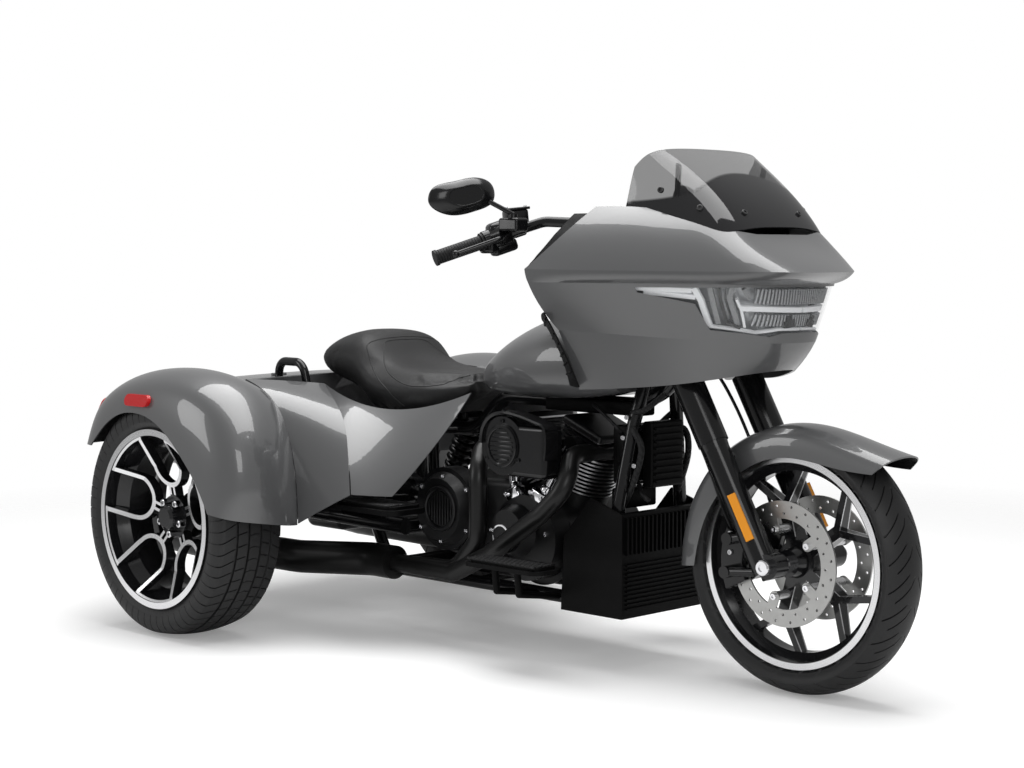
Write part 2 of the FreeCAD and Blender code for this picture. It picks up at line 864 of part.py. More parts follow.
def build_grips_and_controls():
    bar = size("BarRadius")
    sleeves = []
    clusters = []
    for side in (1, -1):
        points = bar_points(side)
        along = (points[-1] - points[-2]).normalize()
        end = points[-1] + along * 4
        start = end - along * size("GripLength")
        grip = rod(start, end + along * 6, size("GripRadius"))
        ring = rod(start, start + along * 6, size("GripRadius") + 5)
        end_ring = rod(end, end + along * 7, size("GripRadius") + 2)
        sleeve = fuse([grip, ring, end_ring])
        sleeve = sleeve.cut(rod(start - along * 10, points[-1], bar + size("RunningFit")))
        sleeves.append(sleeve)
        inner = start - along * (1 + fit)
        housing = rod(inner, inner - along * 52, 25)
        pod_foot = inner - along * 26
        forward = V(1, 0, 0.25).normalize()
        body = Part.makeCylinder(23, 46, pod_foot + V(0, 0, 2), forward)
        reservoir = softened(Part.makeBox(66, 44, 34, pod_foot + V(38, -22, 16)), 7)
        switch = softened(Part.makeBox(50, 50, 40, pod_foot + V(-30, -25, -38)), 10)
        lever_root = pod_foot + forward * 34
        lever_tip = V(end.x + 52, end.y - side * 14, end.z + 8)
        lever = bent_tube([lever_root, lever_root + V(22, side * 22, -8), lever_tip], 6.5, 60)
        ball = Part.makeSphere(10, lever_tip)
        cluster = fuse([housing, body, reservoir, switch, lever, ball])
        clearance = bent_tube(bar_points(side), bar + size("RunningFit"), 60)
        cluster = cluster.cut(rod(start - along * fit, end + along * 30, size("GripRadius") + 6))
        clusters.append(cluster.cut(clearance))
    node("grips", Part.Compound(sleeves))
    node("hand_controls", Part.Compound(clusters))


def build_mirrors():
    """A tear-drop head on a bent stem that rises from the hand controls."""
    width = size("MirrorWidth")
    height = size("MirrorHeight")
    mirrors = []
    for side in (1, -1):
        outline = [(-0.5, -0.1), (-0.46, 0.12), (-0.12, 0.38), (0.2, 0.5), (0.46, 0.28), (0.48, -0.12), (0.24, -0.42), (-0.34, -0.48)]
        middle = at_front(-727, side * 430, 1192)
        wires = []
        for depth, share in ((0, 0.93), (7, 1.0), (20, 0.9), (32, 0.5)):
            points = [V(depth, -side * u * width * share, w * height * share) for u, w in outline]
            wires.append(Part.Wire(smooth(points, closed=True)))
        head = Part.makeLoft(wires, True, False)
        head.Placement = Placement(middle, Rotation(V(0, 0, 1), side * 16))
        points = bar_points(side)
        along = (points[-1] - points[-2]).normalize()
        pod = points[-1] - along * (size("GripLength") + 24)
        foot = pod + V(70, 0, 50 + fit)
        root = middle + V(24, -side * 36, 0)
        stem = rod(foot + V(0, 0, 8), root, 6).fuse(rod(foot, foot + V(0, 0, 8), 11))
        stem = stem.fuse(Part.makeSphere(11, root))
        mirrors.append(head.fuse(stem).removeSplitter())
    return node("mirrors", Part.Compound(mirrors))


def build_front_mudguard():
    """A sheet that hugs the tyre, lifting off it towards the front tip."""
    gap = size("GuardGap")
    tyre = size("FrontTyreRadius")
    half = size("GuardHalfWidth")
    thick = size("SheetThick")
    stations = [
        (187, gap + 3, 36),
        (170, gap + 1, 44),
        (150, gap - 2, 48),
        (128, gap - 3, 52),
        (104, gap - 3, 46),
        (84, gap - 1, 44),
        (64, gap + 6, 40),
        (52, gap + 26, 34),
        (43, gap + 60, 24),
    ]
    rows = []
    for degrees, lift, skirt in stations:
        angle = math.radians(degrees)
        out = V(math.cos(angle), 0, math.sin(angle))
        crown = tyre + lift
        profile = [(0, crown), (half * 0.45, crown - 4), (half * 0.84, crown - 16), (half, crown - 36), (half, crown - 36 - skirt)]
        centre = at_front(0, 0, front_z)
        right = [centre + out * r + V(0, -y, 0) for y, r in profile]
        left = [V(p.x, -p.y, p.z) for p in right[1:]][::-1]
        rows.append(left + right)
    guard = panel(rows, thick, at_front(0, 0, front_z))
    face = fork_out - size("SliderRadius") - fit
    for side in (-1, 1):
        spot = leg_point(front_z + 240, 0)
        start = V(spot.x, side * (half - thick + 0.5), spot.z)
        end = V(spot.x, side * face, spot.z)
        guard = guard.fuse(rod(start, end, 15))
    return node("front_mudguard", guard)


def build_calipers():
    """A caliper behind each fork leg, straddling its disc."""
    disc = size("DiscOffset")
    centre = at_front(0, 0, front_z)
    calipers = []
    for side in (1, -1):
        y_low, y_high = sorted((side * (disc - 26), side * (disc + 24)))
        ring = Part.makeCylinder(172, y_high - y_low, centre + V(0, y_low, 0), V(0, 1, 0), 52)
        ring = ring.cut(Part.makeCylinder(106, y_high - y_low, centre + V(0, y_low, 0), V(0, 1, 0)))
        ring.rotate(centre, V(0, 1, 0), 244)
        half_slot = size("DiscThick") / 2 + 5.5
        slot = Part.makeCylinder(
            size("DiscRadius") + 6, 2 * half_slot, centre + V(0, side * disc - half_slot, 0), V(0, 1, 0)
        )
        caliper = softened(ring.cut(slot), 3)
        calipers.append(caliper)
    return node("brake_calipers", Part.Compound(calipers))


def build_fork_reflectors():
    """An amber bar on the outer side of each slider, running along the leg."""
    solids = []
    for side in (1, -1):
        foot = leg_point(REFLECTOR_FOOT, side * fork_out)
        outward = V(0.42, side, 0.2).normalize()
        outward = (outward - leg_dir * outward.dot(leg_dir)).normalize()
        across = leg_dir.cross(outward)
        bar = Part.makeBox(20, REFLECTOR_LENGTH, 12, V(-10, 0, 0))
        bar.Placement = Placement(foot + outward * (size("SliderRadius") - 5), Rotation(across, leg_dir, outward, "ZXY"))
        slider = rod(foot - leg_dir * 60, foot + leg_dir * 220, size("SliderRadius") + fit)
        solids.append(largest(bar.cut(slider)))
    return node("fork_reflectors", Part.Compound(solids))


REFLECTOR_FOOT = 372
REFLECTOR_LENGTH = 118


def build_steering():
    build_triple_clamps()
    build_fork_legs()
    build_fork_reflectors()
    build_front_axle()
    build_handlebar()
    build_grips_and_controls()
    build_mirrors()
    build_front_mudguard()
    build_calipers()


# Frame and running gear


def build_frame():
    """A spine over the engine, two downtubes, two lower rails and the seat rails."""
    tube = size("TubeRadius")
    spine_r = size("SpineRadius")
    rail = size("RailSpread") / 2
    low = size("RailHeight") + tube
    head_low = axis_point(size("HeadLow") + 20)
    head_high = axis_point(size("HeadHigh") - 20)
    head = rod(head_low, head_high, size("HeadRadius"))
    back = axis_point(size("HeadLow") + 75)
    spine = bent_tube(
        [
            back,
            at_front(-420, 0, size("SpineHeight") + 45),
            at_front(-520, 0, size("SpineHeight")),
            at_front(-1000, 0, size("SpineHeight")),
            at_front(-1110, 0, 562),
            at_front(-1200, 0, 562),
        ],
        spine_r,
        110,
    )
    parts = [head, spine]
    for side in (-1, 1):
        start = axis_point(size("HeadLow") + 95)
        parts.append(
            bent_tube(
                [
                    start,
                    at_front(-436, side * 40, 800),
                    at_front(-462, side * 84, 620),
                    at_front(-480, side * rail * 0.95, 420),
                    at_front(-480, side * rail, low),
                    at_front(-1330, side * rail, low),
                    at_front(-1420, side * rail, 330),
                    at_front(-1430, side * rail, 556),
                ],
                tube,
                90,
            )
        )
        seat_rail = [at_front(-1180, side * 10, 562), at_front(-1260, side * rail, 562), at_front(BOOT_FRONT + fit, side * rail, 562)]
        parts.append(bent_tube(seat_rail, tube - 3, 40))
    for x, z in ((-1330, low), (-560, low), (-1430, 500)):
        parts.append(rod(at_front(x, -rail, z), at_front(x, rail, z), tube - 2))
    shock_reach = SHOCK_OUT - SHOCK_EYE - fit
    parts.append(rod(at_front(-1455, -shock_reach, 560), at_front(-1455, shock_reach, 560), 12))
    for side in (-1, 1):
        start = axis_point(size("HeadLow") + 90)
        stay_end = at_front(-118, side * 60, 900)
        parts.append(rod(start, stay_end, 10))
        nose = rod(stay_end, at_front(-30, side * 60, 900), 9)
        parts.append(min(nose.cut(lamp_zone()).Solids, key=lambda solid: solid.CenterOfMass.x))
        post = at_front(-200, side * 36, 892)
        parts.append(rod(post, V(post.x, post.y, DASH_BOTTOM - fit), 9))
        parts.append(rod(at_front(-1300, side * rail, 562), at_front(-1300, side * rail, 640), 16))
        parts.append(peg_to(at_front(-1328, side * rail, 562), 470, 9, side_zone(body_panel_rows(), side)))
        parts.append(peg_to(at_front(-1230, side * 84, 562), 400, 9, side_zone(side_cover_rows(), side)))
    bridge = rod(at_front(-118, -60, 900), at_front(-118, 60, 900), 10)
    parts.append(bridge)
    for x, out, z in COOLER_BARS:
        parts.append(rod(at_front(x, -out, z), at_front(x, out, z), 9))
    jack = size("JackPlate") / 2
    parts.append(block(at_front(-1040 - jack, -rail, size("RailHeight")), at_front(-1040 + jack, rail, size("RailHeight") + 8)))
    frame = fuse(parts)
    frame = frame.cut(rod(axis_point(size("HeadLow") - 60), axis_point(size("HeadHigh") + 60), size("StemRadius") + 1))
    under_seat = seat_solid()
    under_seat.translate(V(0, 0, -fit))
    return node("frame", frame.cut(under_seat))


BOOT_FRONT = -1644
DASH_BOTTOM = 1072
COOLER_BARS = [(-463, 86, 610), (-474, 108, 480)]


def side_zone(rows, side):
    """The space a side panel takes, with a fit on each face."""
    zone = panel(rows, size("PanelThick") + 2 * fit, at_front(-1300, 0, 450), depth=-fit)
    return mirror_y(zone) if side > 0 else zone


def build_oil_cooler():
    """A finned block carried on two bars between the downtubes, above the cowl."""
    low, high = COOLER_BARS[1][2] - 18, COOLER_BARS[0][2] + 18
    back = COOLER_BARS[0][0] + 9 + fit
    core = softened(block(at_front(back, -61, low), at_front(back + 34, 61, high)), 6)
    fins = [core]
    for k in range(9):
        z = low + 14 + k * (high - low - 34) / 8
        fins.append(block(at_front(back + 30, -54, z), at_front(back + 42, 54, z + 5)))
    return node("oil_cooler", fuse(fins))


SHOCK_OUT = 318
SHOCK_EYE = 27


def coil_sleeve(start, along, root, crest, count, pitch):
    """A spring's outer form: rounded turns standing on a sleeve, turned about the shaft."""
    edges = [Part.LineSegment(V(0, 0, 0), V(root, 0, 0)).toShape()]
    for k in range(count):
        low = V(root, 0, k * pitch)
        high = V(root, 0, (k + 1) * pitch)
        edges.append(Part.Arc(low, V(crest, 0, (k + 0.5) * pitch), high).toShape())
    length = count * pitch
    edges.append(Part.LineSegment(V(root, 0, length), V(0, 0, length)).toShape())
    edges.append(Part.LineSegment(V(0, 0, length), V(0, 0, 0)).toShape())
    sleeve = Part.Face(Part.Wire(edges)).revolve(V(0, 0, 0), V(0, 0, 1), 360)
    sleeve.Placement = Placement(start, Rotation(V(0, 0, 1), along))
    return sleeve


def build_rear_axle():
    """The differential, its axle tubes, the swing arm and the two shock absorbers."""
    centre = at_rear(0, 0, rear_z)
    hub_face = size("RearTrack") / 2 - 24
    case = softened(block(centre + V(-88, -92, -86), centre + V(88, 92, 86)), 26)
    cover = Part.makeCone(70, 52, 26, centre + V(-86, 0, 0), V(-1, 0, 0))
    tube_end = hub_face - 6
    parts = [case, cover, rod(centre + V(0, -tube_end, 0), centre + V(0, tube_end, 0), 36)]
    for side in (-1, 1):
        flange = Part.makeCylinder(62, 10, centre + V(0, side * (tube_end - 5) - 5, 0), V(0, 1, 0))
        parts.append(flange)
        stub = rod(centre + V(0, side * tube_end, 0), centre + V(0, side * (hub_face + 38 - fit), 0), size("AxleRadius") + 10)
        parts.append(stub)
    node("rear_axle", fuse(parts))
    arms = []
    pivot = at_front(-1215, 0, 300)
    for side in (-1, 1):
        start = pivot + V(0, side * 175, 0)
        mid = V(rear_x + 190, side * 210, rear_z - 12)
        end = V(rear_x + 36 + fit, side * 250, rear_z)
        arms.append(bent_tube([start, mid, end], 24, 60))
        arms.append(Part.makeCylinder(54, 30, V(rear_x, side * 250 - 15, rear_z), V(0, 1, 0)))
        pin = V(rear_x + 95, side * 236, rear_z - 10)
        arms.append(rod(pin, V(pin.x, side * (SHOCK_OUT - SHOCK_EYE - fit), pin.z), 9))
    arms.append(rod(pivot + V(0, -175, 0), pivot + V(0, 175, 0), 24))
    arm = fuse(arms)
    arm = arm.cut(rod(centre + V(0, -300, 0), centre + V(0, 300, 0), 36 + fit))
    node("swing_arm", arm)
    shocks = []
    for side in (1, -1):
        low = V(rear_x + 95, side * SHOCK_OUT, rear_z - 10)
        high = at_front(-1455, side * SHOCK_OUT, 560)
        along = (high - low).normalize()
        body = rod(low, low + along * 130, 24)
        shaft = rod(low + along * 120, high, 9)
        turns = 8
        spring_from = low + along * 34
        spring_to = high - along * 30
        pitch = (spring_to - spring_from).Length / turns
        spring = coil_sleeve(spring_from, along, 29, 39, turns, pitch)
        seats = [rod(low + along * 30, low + along * 38, 40), rod(high - along * 34, high - along * 26, 40)]
        eyes = [
            Part.makeCylinder(17, 2 * SHOCK_EYE, low - V(0, SHOCK_EYE, 0), V(0, 1, 0)),
            Part.makeCylinder(17, 2 * SHOCK_EYE, high - V(0, SHOCK_EYE, 0), V(0, 1, 0)),
        ]
        shocks.append(fuse([body, shaft, spring] + seats + eyes))
    node("shocks", Part.Compound(shocks))


# Engine


def crank():
    return at_front(-765, 0, size("CrankHeight"))


def pushrod_boss(sign, clearance=0):
    """The boss on a cylinder head that its two pushrod tubes run up into."""
    foot = crank() + V(sign * 109, -60, 256)
    return rod(foot, foot - V(0, 50, 0), 24 + clearance)


def build_engine():
    """A wide-angle pair of finned cylinders on a round crankcase, with the gearbox behind."""
    middle = crank()
    width = 105
    case = rod(middle - V(0, width, 0), middle + V(0, width, 0), size("CrankcaseRadius"))
    lean = math.radians(size("CylinderAngle"))
    parts = [case]
    for sign in (-1, 1):
        up = V(sign * math.sin(lean), 0, math.cos(lean))
        deck = Part.makeCylinder(72, 150, middle, up)
        parts.append(deck)
    gearbox = block(at_front(-1120, -118, 232), at_front(-830, 118, 452))
    parts.append(softened(gearbox, 22))
    sump = block(at_front(-1090, -96, 186), at_front(-700, 96, 260))
    parts.append(softened(sump, 14))
    case = fuse(parts)
    for sign in (-1, 1):
        up = V(sign * math.sin(lean), 0, math.cos(lean))
        case = case.cut(Part.makeCylinder(size("FinRadius") + 2, 160, middle + up * 150, up))
    node("crankcase", case)
    barrels = []
    heads = []
    boxes = []
    for sign in (1, -1):
        up = V(sign * math.sin(lean), 0, math.cos(lean))
        base = middle + up * 150
        count = int(size("FinCount"))
        pitch = size("FinPitch")
        barrel = Part.makeCylinder(size("CylinderBore"), count * pitch + 6, base, up)
        fins = [barrel]
        for k in range(count):
            fin = Part.makeCylinder(size("FinRadius"), pitch * 0.42, base + up * (5 + k * pitch), up)
            fins.append(fin)
        beyond = sorted((middle.x + sign * 2, middle.x + sign * 300))
        own_side = block(V(beyond[0], -100, middle.z), V(beyond[1], 100, middle.z + 400))
        barrels.append(fuse(fins).common(own_side))
        head_base = base + up * (count * pitch + 6)
        head_fins = [Part.makeCylinder(66, 46, head_base, up)]
        for k in range(4):
            fin = Part.makeBox(150, 168, 5, V(-75, -84, 0))
            fin = softened_corners(fin, 34)
            fin.Placement = Placement(head_base + up * (5 + 11 * k), Rotation(V(0, 1, 0), sign * size("CylinderAngle")))
            head_fins.append(fin)
        port = exhaust_port(sign)
        head_fins.append(rod(V(port.x, -20, port.z), port + V(0, fit, 0), size("HeaderRadius") - 2.5))
        boss = pushrod_boss(sign)
        head_fins.append(boss)
        heads.append(fuse(head_fins))
        box = Part.makeBox(142, 170, 26, V(-71, -85, 0))
        box = softened(box, 9)
        box.Placement = Placement(head_base + up * (46 + fit), Rotation(V(0, 1, 0), sign * size("CylinderAngle")))
        boxes.append(box)
    node("cylinders", Part.Compound(barrels))
    node("cylinder_heads", Part.Compound(heads))
    node("rocker_boxes", Part.Compound(boxes))


def softened_corners(box, radius):
    upright = [e for e in box.Edges if abs(e.tangentAt(e.FirstParameter).z) > 0.99]
    return box.makeFillet(radius, upright)


TAPPET_LENGTH = 50


def build_engine_covers():
    middle = crank()
    # right side: timer cover, tappet blocks and the clutch cover on the gearbox
    side_face = -105 - fit
    cover = Part.makeCylinder(112, 62, V(middle.x, side_face, middle.z + 12), V(0, -1, 0))
    cover = cover.fuse(Part.makeCone(72, 56, 40, V(middle.x - 28, side_face - 60, middle.z + 30), V(0, -1, 0)))
    lean = math.radians(size("CylinderAngle"))
    blocks = []
    for sign in (-1, 1):
        foot = V(middle.x + sign * 26, -118, middle.z + 108)
        tappet_up = V(sign * math.sin(lean * 1.5), 0, math.cos(lean * 1.5))
        tappet = Part.makeCylinder(21, TAPPET_LENGTH, foot + V(0, -24, -30), tappet_up)
        blocks.append(tappet)
    gearbox = block(at_front(-1121, -118, 230), at_front(-829, 118, 454))
    node("timer_cover", fuse([cover] + blocks).cut(gearbox))
    gear = V(front_x - 1062, -118 - fit, 362)
    clutch = Part.makeCylinder(112, 52, gear, V(0, -1, 0))
    clutch = clutch.fuse(Part.makeCone(100, 84, 26, gear + V(0, -52, 0), V(0, -1, 0)))
    window = Part.makeBox(96, 12, 44, gear + V(-48, -78 - 4, -22))
    node("gearbox_cover", clutch.cut(window).removeSplitter())
    # left side: the long primary drive cover
    front = V(middle.x + 6, 105 + fit, middle.z + 4)
    rear = V(front_x - 1045, 105 + fit, 352)
    depth = 86
    primary = Part.makeCylinder(92, depth, front, V(0, 1, 0))
    primary = primary.fuse(Part.makeCylinder(124, depth, rear, V(0, 1, 0)))
    along = rear - front
    half_turn = math.degrees(math.atan2(along.z, along.x))
    web = Part.makeBox(along.Length, depth, 184, V(0, 0, -92))
    web.Placement = Placement(front, Rotation(V(0, 1, 0), -half_turn))
    primary = primary.fuse(web)
    bulge = Part.makeCone(104, 80, 26, rear + V(0, depth, 0), V(0, 1, 0))
    primary = primary.fuse(bulge).fuse(Part.makeCone(70, 56, 20, front + V(0, depth, 0), V(0, 1, 0)))
    gearbox_block = block(at_front(-1121, 90, 231), at_front(-829, 118 + fit, 453))
    node("primary_cover", primary.cut(gearbox_block).removeSplitter())
    # pushrod tubes, leaning out from the tappets to the rocker boxes
    tubes = []
    for sign in (-1, 1):
        for step in (0, 26):
            foot = V(middle.x + sign * 26, -142, middle.z + 78)
            tappet_up = V(sign * math.sin(lean * 1.5), 0, math.cos(lean * 1.5))
            beside = V(sign * tappet_up.z, 0, -abs(tappet_up.x))
            foot = foot + tappet_up * (TAPPET_LENGTH + fit) + beside * (step - 13) * 0.8
            head = V(middle.x + sign * (96 + step), -100, middle.z + 258 - step * 0.4)
            along = (head - foot).normalize()
            tube = rod(foot + along * 3, head, 8.5)
            collar = rod(foot, foot + tappet_up * 6, 8.5)
            tubes.append(tube.fuse(collar).cut(pushrod_boss(sign, fit)))
    node("pushrod_tubes", Part.Compound(tubes))


def build_air_cleaner():
    """A round-backed cover with a square duct forward, on the right between the cylinders."""
    centre = V(front_x - 775, -98, 556)
    drum = Part.makeCylinder(76, 78, centre + V(0, -60, 0), V(0, -1, 0))
    drum = drum.fuse(Part.makeCylinder(24, 110, centre + V(0, 50, 0), V(0, -1, 0)))
    duct = block(centre + V(8, -138, -78), centre + V(150, -66, 58))
    body = drum.fuse(softened(duct, 14))
    face = Part.makeCylinder(58, 10, centre + V(0, -132, 0), V(0, -1, 0))
    backplate = block(centre + V(-67, -62, -10), centre + V(87, 14 - fit, 14))
    return node("air_cleaner", body.fuse(face).fuse(backplate).removeSplitter())


def exhaust_port(sign):
    """Where a cylinder head's exhaust port meets its header, front (1) or rear (-1)."""
    return crank() + V(sign * 161, -96, 240)


def build_exhaust():
    """Two headers down the right side into the silencers under the body."""
    radius = size("HeaderRadius")
    join = V(front_x - 1200, -226, 206)
    rear_header = [
        exhaust_port(-1),
        exhaust_port(-1) + V(0, -66, 0),
        at_front(-880, -222, 480),
        at_front(-880, -222, 300),
        at_front(-960, -226, 214),
        join,
    ]
    front_header = [
        exhaust_port(1),
        exhaust_port(1) + V(0, -66, 0),
        at_front(-560, -222, 470),
        at_front(-640, -236, 390),
        at_front(-820, -240, 270),
        at_front(-960, -236, 206),
        join,
    ]
    pipes = [bent_tube(route, radius, 70) for route in (rear_header, front_header)]
    across = join + V(34, 0, 0)
    left_join = V(join.x, -join.y, join.z)
    pipes.append(rod(across, V(across.x, -join.y, join.z), radius - 2))
    pipes.append(rod(left_join + V(58, 0, 0), left_join, radius))
    beyond = block(join + V(-80, -60, -60), join + V(0, 60, 60))
    node("exhaust_headers", fuse(pipes).cut(beyond))
    silencer = size("MufflerRadius")
    cans = []
    for side in (1, -1):
        path = [
            at_front(-1200 - fit, side * 226, 206),
            at_front(-1290, side * 226, 206),
            at_front(-1520, side * 300, 196),
            at_front(-1980, side * 320, 196),
            at_front(-2120, side * 330, 204),
        ]
        can = bent_tube(path, silencer, 140)
        mouth = rod(path[-1], path[-1] + V(22, 0, 0), silencer - 8)
        cans.append(can.cut(mouth))
    node("silencers", Part.Compound(cans))


def build_lower_cowl():
    """The dark radiator housing ahead of the downtubes: fins in front, open at the back."""
    outline = [(-432, 140), (-432, 402), (-540, 436), (-630, 330), (-640, 140)]
    points = [(front_x + x, z) for x, z in outline]
    skin = prism_y(points, -160, 160)
    inner = prism_y([(front_x - 442, 146), (front_x - 442, 470), (front_x - 700, 470), (front_x - 700, 146)], -154, 154)
    cowl = skin.cut(inner)
    fins = []
    for k in range(11):
        z = 162 + k * 11
        fins.append(block(at_front(-433, -146, z), at_front(-426, 146, z + 4)))
    for k in range(19):
        y = -146 + k * 15.7
        fins.append(block(at_front(-433, y, 300), at_front(-426, y + 5, 392)))
    rail = size("RailSpread") / 2
    for side in (-1, 1):
        low, high = sorted((side * (rail - 14), side * (rail + 34)))
        fins.append(block(at_front(-610, low, 143), at_front(-570, high, size("RailHeight") - fit)))
    return node("radiator_cowl", fuse([cowl] + fins))


def build_footboards():
    boards = []
    steps = []
    for side in (1, -1):
        low, high = sorted((side * 268, side * 374))
        board = block(at_front(-790, low, 262), at_front(-520, high, 272))
        board = softened_corners(board, 34)
        pad = softened_corners(block(at_front(-776, low + 10, 272), at_front(-534, high - 10, 280)), 26)
        rail = size("RailSpread") / 2
        low_rail = size("RailHeight") + size("TubeRadius")
        arms = []
        for x in (-668, -748):
            knee = at_front(x, side * 284, 190)
            arm = rod(at_front(x, side * rail, low_rail), knee, 9)
            arm = arm.fuse([rod(knee, at_front(x, side * 292, 262), 9), Part.makeSphere(9, knee)])
            around = size("TubeRadius") + fit
            arm = arm.cut(rod(at_front(x - 20, side * rail, low_rail), at_front(x + 20, side * rail, low_rail), around))
            arms.append(largest(arm))
        boards.append(fuse([board, pad] + arms))
        step_out = size("BodyHalfWidth") - 76
        low, high = sorted((side * (step_out - 142), side * step_out))
        step = block(at_front(-1380, low, 362), at_front(-1030, high, 376))
        step = softened_corners(step, 40)
        tread = softened_corners(block(at_front(-1364, low + 12, 376), at_front(-1046, high - 12, 384)), 30)
        bracket_low, bracket_high = sorted((side * (size("RailSpread") / 2 + size("TubeRadius") + fit), side * 300))
        hanger = block(at_front(-1450, bracket_low, 348), at_front(-1300, bracket_high, 362))
        steps.append(fuse([step, tread, hanger]))
    node("rider_footboards", Part.Compound(boards))
    node("passenger_footboards", Part.Compound(steps))


# Bodywork


def build_tank():
    stations = [
        (-1038, 44, 694, 716, 716),
        (-1000, 92, 686, 760, 766),
        (-930, 136, 680, 806, 816),
        (-850, 158, 676, 848, 862),
        (-760, 167, 674, 878, 896),
        (-660, 168, 676, 892, 912),
        (-560, 158, 684, 888, 908),
        (-490, 132, 700, 866, 886),
    ]
    widen = size("TankHalfWidth") / TANK_DRAWN_HALF
    lift = size("SpineHeight") - SPINE_DRAWN
    stations = [(x, half * widen, low + lift, top + lift, middle + lift) for x, half, low, top, middle in stations]
    tank = sections_solid(stations, shoulder=0.5, belly=0.36)
    spine_top = size("SpineHeight") + size("SpineRadius")
    tunnel_half = size("SpineRadius") + 4
    under = size("SpineHeight") - 60
    saddle = block(at_front(-1060, -tunnel_half, under), at_front(-600, tunnel_half, spine_top + fit))
    ahead = block(at_front(-600, -tunnel_half, under), at_front(-460, tunnel_half, spine_top + 4))
    tank = tank.cut(saddle).cut(ahead)
    seat_of_cap = at_front(-700, -62, 872 + lift)
    cap = Part.makeCylinder(36, 32, seat_of_cap + V(0, 0, fit), V(0, 0, 1))
    node("filler_cap", softened(cap, 5))
    tank = tank.cut(Part.makeCylinder(36 + fit, 60, seat_of_cap, V(0, 0, 1)))
    node("fuel_tank", tank)
    return tank


SPINE_DRAWN = 662
TANK_DRAWN_HALF = 168
SEAT_DRAWN_HALF = 202


def seat_solid():
    widen = size("SeatHalfWidth") / SEAT_DRAWN_HALF
    drawn = [
        (-1648, 104, 734, 768, 772),
        (-1628, 150, 718, 800, 806),
        (-1560, 172, 698, 824, 829),
        (-1470, 184, 672, 826, 829),
        (-1416, 192, 640, 818, 818),
        (-1372, 199, 612, 754, 738),
        (-1280, 202, 604, 732, 714),
        (-1180, 194, 602, 728, 711),
        (-1104, 150, 634, 722, 710),
        (-1048, 84, 680, 718, 716),
    ]
    stations = [(x, half * widen, low, top, middle) for x, half, low, top, middle in drawn]
    return sections_solid(stations, shoulder=0.6, belly=0.5)


def fender_rows():
    """The right rear fender, station by station from its front edge over the wheel to its tail."""
    inner = size("BodyHalfWidth") - 12
    outer = size("RearTrack") / 2 + size("FenderOverhang")
    crown = size("FenderCrown") - 748
    spread = (outer - inner) / FENDER_DRAWN_WIDTH

    def out_at(drawn):
        return inner + (drawn - FENDER_DRAWN_INNER) * spread

    table = [
        [(-1338, 456, 318), (-1312, 500, 322), (-1300, 560, 332), (-1306, 625, 342), (-1340, 700, 354), (-1400, 709, 365)],
        [(-1338, 456, 450), (-1300, 505, 455), (-1282, 565, 460), (-1288, 640, 462), (-1325, 704, 458), (-1440, 712, 440)],
        [(-1375, 456, 590), (-1340, 505, 590), (-1325, 565, 588), (-1328, 645, 585), (-1376, 706, 566), (-1505, 713, 505)],
        [(-1450, 456, 672), (-1425, 510, 690), (-1418, 570, 690), (-1424, 645, 682), (-1466, 706, 640), (-1575, 712, 565)],
        [(-1560, 456, 700), (-1555, 515, 728), (-1552, 575, 735), (-1558, 648, 722), (-1585, 706, 672), (-1645, 710, 600)],
        [(-1680, 456, 705), (-1680, 515, 733), (-1680, 580, 742), (-1683, 650, 730), (-1692, 706, 680), (-1705, 709, 614)],
        [(-1800, 456, 692), (-1802, 515, 718), (-1805, 580, 727), (-1805, 650, 715), (-1798, 704, 672), (-1785, 707, 614)],
        [(-1905, 456, 660), (-1910, 515, 682), (-1912, 580, 690), (-1914, 650, 680), (-1896, 702, 645), (-1855, 704, 590)],
        [(-1985, 456, 600), (-1992, 515, 615), (-1994, 580, 622), (-1996, 645, 618), (-1970, 698, 592), (-1905, 701, 558)],
        [(-2015, 456, 505), (-2024, 515, 508), (-2027, 580, 510), (-2024, 645, 510), (-2004, 694, 509), (-1960, 699, 508)],
    ]
    return [
        [at_front(x, -out_at(out), z + crown) for x, out, z in row]
        for row in table
    ]


FENDER_DRAWN_INNER = 456
FENDER_DRAWN_WIDTH = 257


def build_rear_lamps():
    """Tail lamps on the fenders' tails and marker lamps on their outer faces."""
    rows = fender_rows()
    over_wheel = at_rear(0, -size("RearTrack") / 2, rear_z + 300)
    cover = panel(rows, LAMP_RISE, over_wheel, depth=-(LAMP_RISE + fit))
    outer = size("RearTrack") / 2 + size("FenderOverhang")
    tail = softened(block(at_front(-2200, 60 - outer, 582), at_front(-1900, 152 - outer, 640)), 14)
    lamps = [cover.common(tail)]
    start, end = at_front(-1752, -outer - 30, 649), at_front(-1674, -outer - 30, 649)
    across = V(0, 60, 0)
    marker = rod(start, start + across, 16).fuse(rod(end, end + across, 16))
    marker = marker.fuse(block(V(start.x, start.y, 633), V(end.x, end.y + 60, 665)))
    lamps.append(cover.common(marker))
    solids = [solid for lamp in lamps for solid in lamp.Solids]
    return node("rear_lamps", Part.Compound(solids + [mirror_y(solid) for solid in solids]))


LAMP_RISE = 12


def build_rear_fenders():
    thick = size("PanelThick")
    right = panel(fender_rows(), thick, at_rear(0, -size("RearTrack") / 2, rear_z + 300))
    node("rear_fender_right", right)
    node("rear_fender_left", mirror_y(right))


